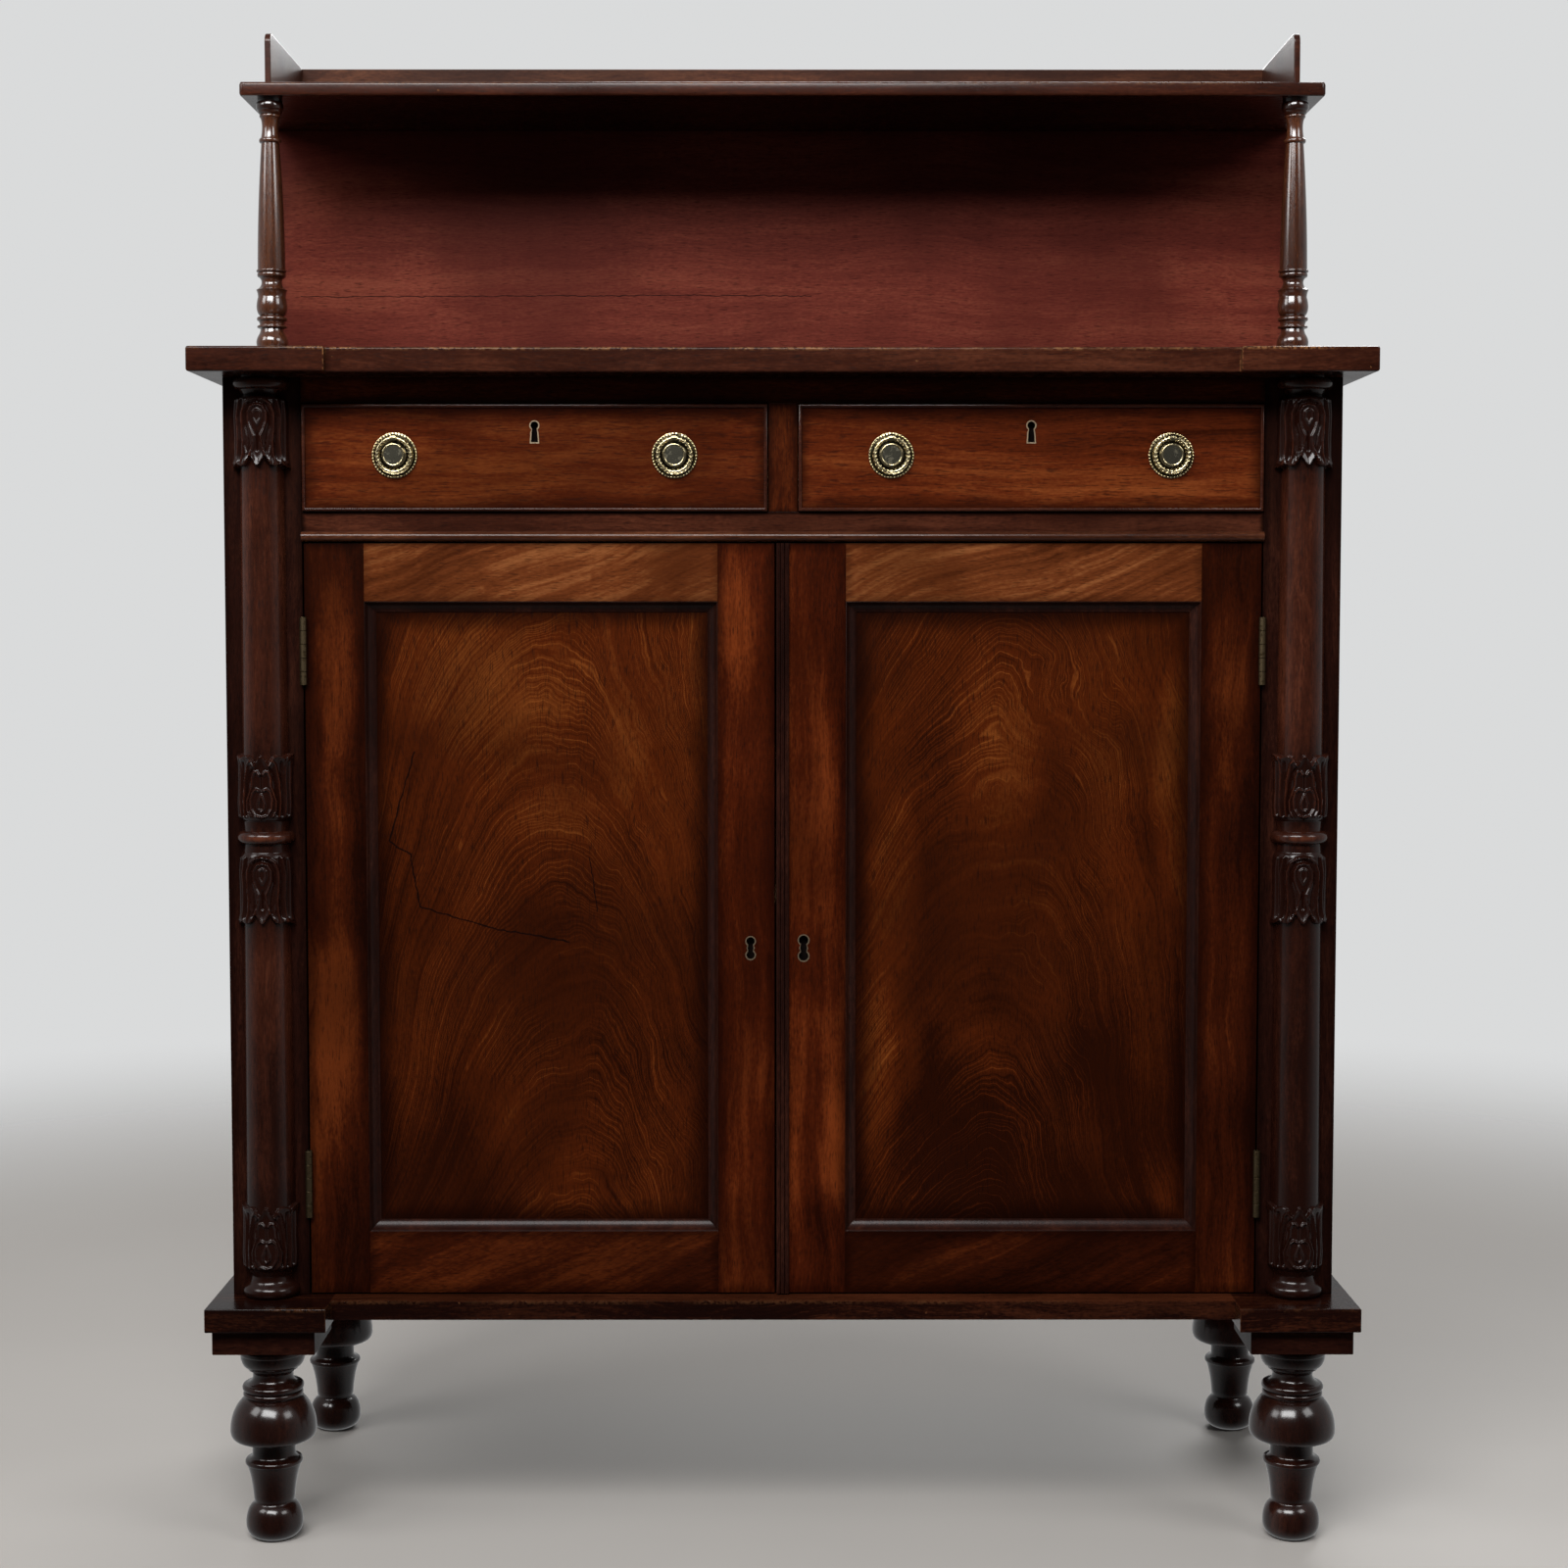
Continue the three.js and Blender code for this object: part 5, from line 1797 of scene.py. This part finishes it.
@dataclass
class Drawer:
    """A drawer: its front with a cock bead, its box of softwood and its lock."""

    side: Side
    bead_width: float = 3.2
    field_depth: float = 2.5
    wall: float = 10 * MM
    bottom_rise: float = 8 * MM
    bottom: float = 6 * MM
    tails: int = 4

    @property
    def body(self) -> str:
        """The body that the drawer is."""
        return f"drawer_{self.side.word}"

    def build(self, shop: Workshop) -> None:
        """Builds the front, the box, the lock's furniture and the key plate.

        Args:
            shop: The workshop.
        """
        self._front(shop)
        self._box(shop)
        self._lock(shop)

    def _key_plate(self) -> KeyPlate:
        """The keyhole in the middle of the front."""
        low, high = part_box(f"drawer_front_{self.side.word}")
        return KeyPlate(f"key_plate_{self.side.word}_drawer", self.body, (low.x + high.x) / 2,
                        1004.5 * MM, low.y + self.field_depth * MM, 18.5 * MM, True)

    def _front(self, shop: Workshop) -> None:
        """The figured front and the bead round it.

        Args:
            shop: The workshop.
        """
        node = f"drawer_front_{self.side.word}"
        low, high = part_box(node)
        field = low.y + self.field_depth * MM
        front = blocks(f"{node}_board", [((low.x, field, low.z), (high.x, high.y, high.z))],
                       0.3 * MM)
        bolt_low, bolt_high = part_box(f"drawer_lock_bolt_{self.side.word}")
        room = 0.4 * MM
        carve(front, blocks("bolt_slot", [
            ((bolt_low.x - room, bolt_low.y - room, bolt_low.z - room),
             (bolt_high.x + room, bolt_high.y + room, high.z + 3 * MM))], 0.0))
        plate = self._key_plate()
        carve(front, plate.cutter())
        finish = Mahogany(**WARM, patch=0.75, streak=0.6, edge_dark=0.75, edge_width=17 * MM)
        shop.fit(front, self.body, "flame_mahogany",
                 finish.dress(f"{node}_finish", 70 + self.side.value, (low, high)), node)
        half = self.bead_width / 2
        profile = [(0.0, self.field_depth + 6), (0.0, half)]
        profile += arc((half, half), (half, half), 180, 360, 8)[1:]
        profile.append((self.bead_width, self.field_depth + 6))
        bead = mitred(f"cock_bead_{self.side.word}", (low.x, low.z, high.x, high.z), low.y,
                      [(inset * MM, depth * MM) for inset, depth in profile])
        dark = Mahogany(**UMBER, roughness=0.2, coat=0.4, gloss=0.12, edge_dark=0.0)
        shop.fit(bead, self.body, "flame_mahogany",
                 dark.dress(f"cock_bead_{self.side.word}_finish", 73))
        plate.build(shop)

    def _box(self, shop: Workshop) -> None:
        """The sides, back and bottom, and the dovetails that show on the front's ends.

        Args:
            shop: The workshop.
        """
        node = f"drawer_box_{self.side.word}"
        low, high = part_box(node)
        wall, floor = self.wall, low.z + self.bottom_rise
        boards = {
            "sides": ([(low, (low.x + wall, high.y, high.z)),
                       ((high.x - wall, low.y, low.z), high)], 0.7, Run.DEPTH, (node,)),
            "back": ([((low.x + wall, high.y - wall, low.z),
                       (high.x - wall, high.y, high.z))], 0.7, Run.WIDTH, ()),
            "bottom": ([((low.x + wall, low.y, floor),
                         (high.x - wall, high.y - wall, floor + self.bottom))],
                       0.4, Run.WIDTH, ())}
        for seed, (part, (boxes, ease, run, replaced)) in enumerate(boards.items(), 8):
            shop.fit(blocks(f"{node}_{part}", boxes, ease * MM), self.body, "pine",
                     Pine(run=run).dress(f"{node}_{part}_finish", seed), *replaced)
        self._tails(shop, low, high)

    def _tails(self, shop: Workshop, low: Vector, high: Vector) -> None:
        """The dovetails on both ends of the front.

        Args:
            shop: The workshop.
            low: The box's lowest corner.
            high: Its highest corner.
        """
        length, pitch = 13 * MM, (high.z - low.z) / self.tails
        bench = bmesh.new()
        for edge in (low.x, high.x):
            for step in range(self.tails):
                middle = low.z + pitch * (step + 0.5)
                narrow, wide = pitch * 0.28, pitch * 0.4
                outline = [(low.y, middle - narrow), (low.y - length, middle - wide),
                           (low.y - length, middle + wide), (low.y, middle + narrow)]
                inward = 1 if edge == low.x else -1
                near = [bench.verts.new((edge - inward * 0.06 * MM, y, z)) for y, z in outline]
                far = [bench.verts.new((edge + inward * 2 * MM, y, z)) for y, z in outline]
                bench.faces.new(near)
                bench.faces.new(far[::-1])
                for i in range(4):
                    bench.faces.new((near[i], near[(i + 1) % 4], far[(i + 1) % 4], far[i]))
        piece = from_bench(f"drawer_tails_{self.side.word}", bench)
        shop.fit(piece, self.body, "pine",
                 Pine(run=Run.DEPTH).dress(f"tails_{self.side.word}_finish", 8))

    def _lock(self, shop: Workshop) -> None:
        """The brass plates beside the bolt and the iron case behind the front.

        Args:
            shop: The workshop.
        """
        word = self.side.word
        bolt = f"drawer_lock_bolt_{word}"
        low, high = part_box(bolt)
        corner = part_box(f"drawer_front_{word}")[1]
        back, top = corner.y, corner.z
        middle, reach, gap = (low.x + high.x) / 2, 32 * MM, 0.45 * MM
        front, under, over = low.y - 2 * MM, top - 1.2 * MM, top + 0.05 * MM
        plates = [((middle - reach, front, under), (low.x - gap, back, over)),
                  ((high.x + gap, front, under), (middle + reach, back, over))]
        selvage = blocks(f"lock_plate_{word}_drawer", plates, 0.2 * MM)
        shop.fit(selvage, self.body, "old_brass", DULL_BRASS.dress(f"lock_plate_{word}_finish"))
        case = blocks(f"lock_case_{word}_drawer", [
            ((middle - reach, back, top - 40 * MM),
             (middle + reach, back + 1.6 * MM, top - 0.4 * MM)),
            ((middle - 22 * MM, back + 1.2 * MM, top - 36 * MM),
             (middle + 22 * MM, back + 7 * MM, top - 6 * MM))], 0.6 * MM)
        shop.fit(case, self.body, "iron", DARK_IRON.dress(f"lock_case_{word}_finish"))
        shop.redress(bolt, DARK_IRON.dress(f"{bolt}_finish"))


@dataclass
class RingPull:
    """A stamped brass plate with a beaded rim and a boss, and a cast ring like a wreath."""

    beads: int = 44
    bead_radius: float = 1.12 * MM
    rim_radius: float = 19.5 * MM
    ring_radius: float = 14.9 * MM
    tube: float = 1.3 * MM
    leaves: int = 13

    def bead_recipe(self) -> GeometryRecipe:
        """The tree that sets beads round the plate's rim."""
        recipe = GeometryRecipe("Beaded rim", {
            "Radius": self.rim_radius, "Count": self.beads, "Bead": self.bead_radius,
            "Centre": ORIGIN, "Material": None})
        given = recipe.given
        ring = recipe.node("GeometryNodeMeshCircle", None, {
            "Vertices": given["Count"], "Radius": given["Radius"]})
        bead = recipe.node("GeometryNodeMeshUVSphere", None, {
            "Segments": 8, "Rings": 6, "Radius": given["Bead"]})
        placed = recipe.node("GeometryNodeInstanceOnPoints", None, {
            "Points": ring.outputs[0], "Instance": bead.outputs[0]})
        recipe.keep(recipe.moved(placed.outputs[0], given["Centre"], (math.pi / 2, 0.0, 0.0)))
        recipe.close()
        return recipe

    def wreath_recipe(self) -> GeometryRecipe:
        """The tree that lays two rows of leaves up both sides of the ring."""
        recipe = GeometryRecipe("Wreath", {
            "Radius": self.ring_radius, "Tube": self.tube, "Leaves": self.leaves,
            "Centre": ORIGIN, "Material": None})
        given = recipe.given
        ring = recipe.node("GeometryNodeCurvePrimitiveCircle", None, {
            "Resolution": 64, "Radius": given["Radius"]})
        section = recipe.node("GeometryNodeCurvePrimitiveCircle", None, {
            "Resolution": 12, "Radius": given["Tube"]})
        tube = recipe.node("GeometryNodeCurveToMesh", None, {
            "Curve": ring.outputs[0], "Profile Curve": section.outputs[0]})
        upright = (math.pi / 2, 0.0, 0.0)
        recipe.keep(recipe.moved(tube.outputs[0], given["Centre"], upright))
        leaf = recipe.node("GeometryNodeMeshUVSphere", None, {
            "Segments": 8, "Rings": 6, "Radius": 1.0 * MM})
        for sweep in (math.pi * 0.94, -math.pi * 0.94):
            side = recipe.node("GeometryNodeCurveArc", {"mode": "RADIUS"}, {
                "Resolution": 48, "Radius": given["Radius"], "Start Angle": -math.pi / 2,
                "Sweep Angle": sweep})
            spots = recipe.node("GeometryNodeCurveToPoints", {"mode": "COUNT"}, {
                "Curve": side.outputs[0], "Count": given["Leaves"]})
            for splay in (0.75, -0.75):
                bent = recipe.moved(leaf.outputs[0], (0.9 * MM * math.copysign(1, splay),
                                                      -0.75 * MM, 0.0),
                                    (0.0, splay, 0.0), (0.5, 0.62, 1.7))
                for flip in (1.0, -1.0):
                    row = recipe.node("GeometryNodeInstanceOnPoints", None, {
                        "Points": spots.outputs["Points"], "Instance": bent,
                        "Rotation": spots.outputs["Rotation"], "Scale": (1.0, flip, 1.0)})
                    recipe.keep(recipe.moved(row.outputs[0], given["Centre"], upright))
        recipe.close(False)
        return recipe

    def plate_outline(self) -> list[Pair]:
        """The plate's outline as radius and height off the drawer."""
        plate = Turning(20.2, 0.0)
        plate.to(20.2, 0.5).to(18.4, 0.9).sweep(17.2, 1.9, (17.9, 2.1), 6)
        plate.sweep(12.4, 1.0, (15.0, 0.9), 6)
        plate.sweep(9.4, 3.0, (10.0, 1.2), 6).to(9.3, 7.2).sweep(10.2, 9.2, (9.4, 8.6), 5)
        plate.sweep(9.2, 10.0, (10.2, 10.0), 5).sweep(8.2, 9.4, (8.6, 10.0), 4)
        plate.sweep(0.6, 8.1, (5.0, 8.1), 8)
        return plate.metres()

    def build(self, shop: Workshop) -> None:
        """Builds the four pulls in place of their nodes.

        Args:
            shop: The workshop.
        """
        beads, wreath = self.bead_recipe(), self.wreath_recipe()
        for side in Side:
            for end in ("outer", "inner"):
                self._pull(shop, f"{side.word}_{end}", side, beads, wreath)

    def _pull(self, shop: Workshop, label: str, side: Side, beads: GeometryRecipe,
              wreath: GeometryRecipe) -> None:
        """Builds one pull.

        Args:
            shop: The workshop.
            label: Which pull it is.
            side: The drawer's hand.
            beads: The tree for the rim.
            wreath: The tree for the ring.
        """
        node = f"pull_plate_{label}"
        low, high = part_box(node)
        centre = ((low.x + high.x) / 2, high.y, (low.z + high.z) / 2)
        stamped = StampedBrass(**vars(AGED_BRASS), centre=(centre[0], centre[2]))
        brass = stamped.dress(f"{node}_finish")
        plate = turned(f"{node}_brass", self.plate_outline(), centre, 64, 1)
        beads.run(plate, {"Radius": self.rim_radius, "Count": self.beads,
                          "Bead": self.bead_radius, "Material": brass,
                          "Centre": (centre[0], centre[1] - 1.3 * MM, centre[2])})
        shop.fit(plate, f"drawer_{side.word}", "brass", None, node)
        ring_low, ring_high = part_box(f"pull_ring_{label}")
        middle = tuple((ring_low[i] + ring_high[i]) / 2 for i in range(3))
        self._eye(shop, label, side, (middle[0], middle[1], middle[2] + self.ring_radius),
                  high.y, brass)
        dish = turned(f"pull_boss_{label}", Turning(8.3, 9.2).sweep(0.5, 8.2, (5.0, 8.2), 8)
                      .to(0.5, 8.3).sweep(6.0, 8.7, (4.0, 8.3), 6).sweep(8.2, 9.8, (7.6, 9.0), 6)
                      .metres(), centre, 48, 1)
        shop.fit(dish, f"drawer_{side.word}", "brass", BOSS_BRASS.dress(f"boss_{label}_finish"))
        ring = mesh_object(f"pull_ring_{label}_wreath", [], [])
        wreath.run(ring, {"Radius": self.ring_radius, "Tube": self.tube, "Leaves": self.leaves,
                          "Centre": middle, "Material": AGED_BRASS.dress(f"ring_{label}_finish")})
        shop.fit(ring, f"ring_{label}", "brass", None, f"pull_ring_{label}")

    def _eye(self, shop: Workshop, label: str, side: Side, pivot: Point, back: float,
             brass: Material) -> None:
        """The eye that the ring hangs in, and the block that holds it to the plate.

        Args:
            shop: The workshop.
            label: Which pull it is.
            side: The drawer's hand.
            pivot: The middle of the eye.
            back: The Y of the drawer's front.
            brass: The plate's material.
        """
        bench = bmesh.new()
        x, y, z = pivot
        outer, inner, half, steps = 3.9 * MM, 2.75 * MM, 2.6 * MM, 20
        rows = ((inner, -half), (outer, -half * 0.8), (outer, half * 0.8), (inner, half))
        verts = [bench.verts.new((x + offset, y + radius * math.cos(a), z + radius * math.sin(a)))
                 for radius, offset in rows for a in around(steps)]
        for face in ring_faces(len(rows), steps, True):
            bench.faces.new([verts[i] for i in face])
        add_block(bench, (x - half, y + inner + 0.2 * MM, z - 2.6 * MM),
                  (x + half, back - 1.0 * MM, z + 2.6 * MM), 0.5 * MM)
        eye = from_bench(f"pull_eye_{label}", bench)
        shop.fit(eye, f"drawer_{side.word}", "brass", brass)


@dataclass
class ButtHinge:
    """A brass butt hinge of five knuckles, its leaves let into the wood and screwed."""

    knuckles: int = 5
    barrel: float = 3.2 * MM
    play: float = 0.3 * MM
    segments: int = 24
    screws: int = 3
    spacing: float = 20 * MM
    head: float = 2.6 * MM

    def screw_recipe(self) -> GeometryRecipe:
        """The tree that sets a column of slotted screw heads."""
        recipe = GeometryRecipe("Screw heads", {
            "Head": self.head, "Count": self.screws, "Pitch": self.spacing, "Start": ORIGIN,
            "Turn": ORIGIN, "Material": None})
        given = recipe.given
        step = recipe.node("ShaderNodeCombineXYZ", None, {2: given["Pitch"]})
        line = recipe.node("GeometryNodeMeshLine", None, {
            "Count": given["Count"], "Start Location": given["Start"], "Offset": step.outputs[0]})
        head = recipe.node("GeometryNodeMeshCylinder", None, {
            "Vertices": 16, "Radius": given["Head"], "Depth": 0.5 * MM})
        slot = recipe.node("GeometryNodeMeshCube", None, {"Size": (6 * MM, 0.6 * MM, 0.5 * MM)})
        groove = recipe.moved(slot.outputs[0], (0.0, 0.0, 0.3 * MM))
        cut = recipe.node("GeometryNodeMeshBoolean", {"operation": "DIFFERENCE"}, {
            0: head.outputs[0], 1: groove})
        placed = recipe.node("GeometryNodeInstanceOnPoints", None, {
            "Points": line.outputs[0], "Instance": cut.outputs[0], "Rotation": given["Turn"]})
        recipe.keep(placed.outputs[0])
        recipe.close()
        return recipe

    def build(self, shop: Workshop) -> None:
        """Builds the eight leaves in place of their nodes.

        Args:
            shop: The workshop.
        """
        recipe = self.screw_recipe()
        for side in Side:
            for level in ("bottom", "top"):
                for leaf in ("frame", "door"):
                    self._leaf(shop, side, level, leaf, recipe)

    def _leaf(self, shop: Workshop, side: Side, level: str, leaf: str,
              recipe: GeometryRecipe) -> None:
        """Builds one leaf with its knuckles and screws.

        Args:
            shop: The workshop.
            side: The hand.
            level: Top or bottom.
            leaf: Whether it is the frame's or the door's.
            recipe: The tree for the screws.
        """
        node = f"hinge_{leaf}_leaf_{side.word}_{level}"
        low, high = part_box(node)
        joint = next(j for j in shop.joints if j["name"] == f"door_{side.word}_hinge")
        axis_x, axis_y = joint["pos_m"][0], joint["pos_m"][1]
        outward = side.value if leaf == "frame" else -side.value
        near = axis_x + outward * 0.75 * MM
        far = near + outward * 1.4 * MM
        left, right = min(near, far), max(near, far)
        face = axis_y + self.barrel + self.play
        bench = bmesh.new()
        add_block(bench, (left, face, low.z), (right, high.y, high.z), 0.15 * MM)
        pitch = (high.z - low.z) / self.knuckles
        first = 0 if leaf == "frame" else 1
        for knuckle in range(first, self.knuckles, 2):
            bottom = low.z + knuckle * pitch + self.play / 2
            top = low.z + (knuckle + 1) * pitch - self.play / 2
            add_block(bench, (left, axis_y, bottom), (right, face + 1 * MM, top), 0.1 * MM)
            self._barrel(bench, axis_x, axis_y, bottom, top)
        piece = from_bench(f"{node}_brass", bench)
        turn = 1 if near < far else -1
        inset = (high.z - low.z) / 2 - self.spacing
        recipe.run(piece, {
            "Start": (near + turn * 0.12 * MM, (face + high.y) / 2 + 1 * MM, low.z + inset),
            "Turn": (0.0, -turn * math.pi / 2, 0.0), "Count": self.screws,
            "Pitch": self.spacing, "Head": self.head,
            "Material": DULL_BRASS.dress(f"{node}_finish")})
        body = "carcase" if leaf == "frame" else f"door_{side.word}"
        shop.fit(piece, body, "old_brass", None, node)

    def _barrel(self, bench: MeshBench, x: float, y: float, low: float,
                high: float) -> None:
        """Adds one knuckle with softened ends.

        Args:
            bench: The mesh.
            x: The pin's X.
            y: The pin's Y.
            low: Where the knuckle starts.
            high: Where it ends.
        """
        soft = 0.25 * MM
        rows = [(0.0, low), (self.barrel - soft, low), (self.barrel, low + soft),
                (self.barrel, high - soft), (self.barrel - soft, high), (0.0, high)]
        rings = []
        for radius, z in rows:
            if radius == 0:
                rings.append([bench.verts.new((x, y, z))])
                continue
            rings.append([bench.verts.new((x + radius * math.cos(a), y + radius * math.sin(a), z))
                          for a in around(self.segments)])
        for here, after in zip(rings, rings[1:]):
            for step in range(self.segments):
                nearby = (step + 1) % self.segments
                if len(here) == 1:
                    bench.faces.new((here[0], after[nearby], after[step]))
                elif len(after) == 1:
                    bench.faces.new((here[step], here[nearby], after[0]))
                else:
                    bench.faces.new((here[step], here[nearby], after[nearby], after[step]))


@dataclass
class DoorLock:
    """The iron lock on the back of the right door, round its sliding bolt."""

    width: float = 44 * MM
    height: float = 62 * MM
    depth: float = 11 * MM

    def build(self, shop: Workshop) -> None:
        """Builds the case, its edge plate and the bolt's finish."""
        low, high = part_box("door_lock_bolt")
        stile_low, stile_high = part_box("door_meeting_stile_right")
        middle = (low.z + high.z) / 2
        edge = stile_low.x
        case = blocks("door_lock_case", [
            ((edge + 1 * MM, stile_high.y, middle - self.height / 2),
             (edge + 1 * MM + self.width, stile_high.y + 1.8 * MM, middle + self.height / 2)),
            ((edge + 1 * MM, stile_high.y + 1.4 * MM, middle - self.height * 0.4),
             (edge + self.width * 0.86, stile_high.y + self.depth, middle + self.height * 0.4))],
            0.7 * MM)
        shop.fit(case, "door_right", "iron", DARK_IRON.dress("door_lock_case_finish"))
        shop.redress("door_lock_bolt", DARK_IRON.dress("door_lock_bolt_finish"))


@dataclass
class Studio:
    """The plain pale room, its lamps and the camera."""

    camera_place: Point = (-0.0029, -2.5136, 0.8308)
    pitch: float = 3.44
    yaw: float = 0.095
    focal: float = 60.03
    sensor: float = 36.0
    backdrop: Colour = (0.70, 0.707, 0.71)
    floor_colour: Colour = (0.36, 0.34, 0.32)
    fill: float = 0.17
    mirrored: float = 0.6
    behind: float = 0.05
    floor_reach: float = 3.1
    floor_sides: int = 64

    def build(self) -> None:
        """Builds the room."""
        self._camera()
        self._world()
        self._floor()
        self._lamp("key_lamp", (-0.7, -2.6, 2.9), (0.0, 0.0, 0.75), (2.4, 1.2), 175.0)
        self._lamp("fill_lamp", (2.5, -1.9, 2.7), (0.0, 0.0, 0.7), (1.4, 1.2), 40.0)
        self._lamp("left_lamp", (-2.6, -1.4, 2.5), (0.0, 0.0, 0.6), (1.2, 1.2), 34.0)
        self._lamp("rear_lamp", (0.6, 2.6, 2.6), (0.0, 0.0, 0.8), (2.0, 1.2), 60.0)

    def _camera(self) -> None:
        """The camera at the photograph's viewing angle."""
        camera = bpy.data.cameras.new("camera")
        camera.lens, camera.sensor_width = self.focal, self.sensor
        holder = added("camera", camera)
        holder.location = self.camera_place
        holder.rotation_euler = (math.radians(90 - self.pitch), 0.0, -math.radians(self.yaw))
        bpy.context.scene.camera = holder

    def _world(self) -> None:
        """A pale surround that lights the piece little, and mirrors dark behind the camera."""
        world = bpy.data.worlds.new("room")
        world.use_nodes = True
        bpy.context.scene.world = world
        bench = NodeBench(world.node_tree)
        bench.tree.nodes.clear()

        def pale(strength: Any) -> Socket:
            """The surround's colour at one strength."""
            return bench.node("ShaderNodeBackground", None, {
                "Color": (*self.backdrop, 1.0), "Strength": strength}).outputs[0]
        path = bench.node("ShaderNodeLightPath")
        seen = bench.node("ShaderNodeMath", {"operation": "MAXIMUM"}, {
            0: path.outputs["Is Camera Ray"], 1: path.outputs["Is Transmission Ray"]})
        place = bench.node("ShaderNodeTexCoord")
        parts = bench.node("ShaderNodeSeparateXYZ", None, {0: place.outputs["Generated"]})
        facing = bench.node("ShaderNodeMapRange", None, {
            "Value": parts.outputs["Y"], "From Min": -0.8, "From Max": -0.1,
            "To Min": self.behind, "To Max": self.mirrored})
        first = bench.node("ShaderNodeMixShader", None, {
            0: path.outputs["Is Glossy Ray"], 1: pale(self.fill), 2: pale(facing.outputs[0])})
        both = bench.node("ShaderNodeMixShader", None, {
            0: seen.outputs[0], 1: first.outputs[0], 2: pale(1.0)})
        output = bench.node("ShaderNodeOutputWorld")
        bench.tree.links.new(both.outputs[0], output.inputs["Surface"])

    def _floor(self) -> None:
        """A plain floor that fades into the surround far from the piece."""
        reach, sides = self.floor_reach, self.floor_sides
        points = [ORIGIN] + [(reach * math.cos(a), reach * math.sin(a), 0.0)
                             for a in around(sides)]
        floor = mesh_object("floor", points,
                            [(0, 1 + i, 1 + (i + 1) % sides) for i in range(sides)])
        graph = Graph("floor_paint")
        far = (graph.x * graph.x + graph.y * graph.y).root()
        graph.paint(graph.blend(graph.cloud(3.0, 4.0), self.floor_colour,
                                shaded(self.floor_colour, 0.93)), 0.55)
        graph.feed(graph.shader.inputs["Alpha"], far.rise(reach * 0.97, reach * 0.42))
        floor.data.materials.append(graph.material)
        floor.visible_glossy = False

    @staticmethod
    def _lamp(name: str, place: Point, aim: Point, size: Pair, power: float) -> None:
        """Adds a soft rectangular lamp.

        Args:
            name: The lamp's name.
            place: Where it stands.
            aim: What it points at.
            size: Its width and height.
            power: Its power in watts.
        """
        lamp = bpy.data.lights.new(name, "AREA")
        lamp.shape = "RECTANGLE"
        lamp.size, lamp.size_y = size
        lamp.energy = power
        holder = added(name, lamp)
        holder.location = place
        direction = Vector(aim) - Vector(place)
        holder.rotation_euler = direction.to_track_quat("-Z", "Y").to_euler()


def main() -> None:
    """Builds the dressed chiffonier and its studio."""
    logging.basicConfig(level=logging.INFO, format="%(message)s")
    bpy.context.scene.view_settings.view_transform = "Standard"
    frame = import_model()
    shop = Workshop(frame["nodes"], frame["joints"])
    Studio().build()
    Case().build(shop)
    for seed, node in enumerate(("foot_front_left", "foot_front_right", "foot_rear_left",
                                 "foot_rear_right")):
        TurnedFoot().build(shop, node, seed)
    for side in Side:
        HalfColumn().build(shop, side)
        Spindle().build(shop, side)
        Drawer(side).build(shop)
        DOOR_LOCKS[side].build(shop)
    PanelDoor(Side.LEFT, -0.195, 0.02, LEFT_GLOWS, LEFT_STILES, LEFT_CRACKS).build(shop)
    PanelDoor(Side.RIGHT, 0.205, -0.05, RIGHT_GLOWS, RIGHT_STILES,
              swirls=((0.262, 0.756, 0.07, 0.05), (0.318, 0.636, 0.06, 0.045),
                      (0.2, 0.655, 0.05, 0.03))).build(shop)
    Astragal().build(shop)
    RingPull().build(shop)
    ButtHinge().build(shop)
    DoorLock().build(shop)
    log.info("%d pieces made", shop.made)


if __name__ == "__main__":
    main()
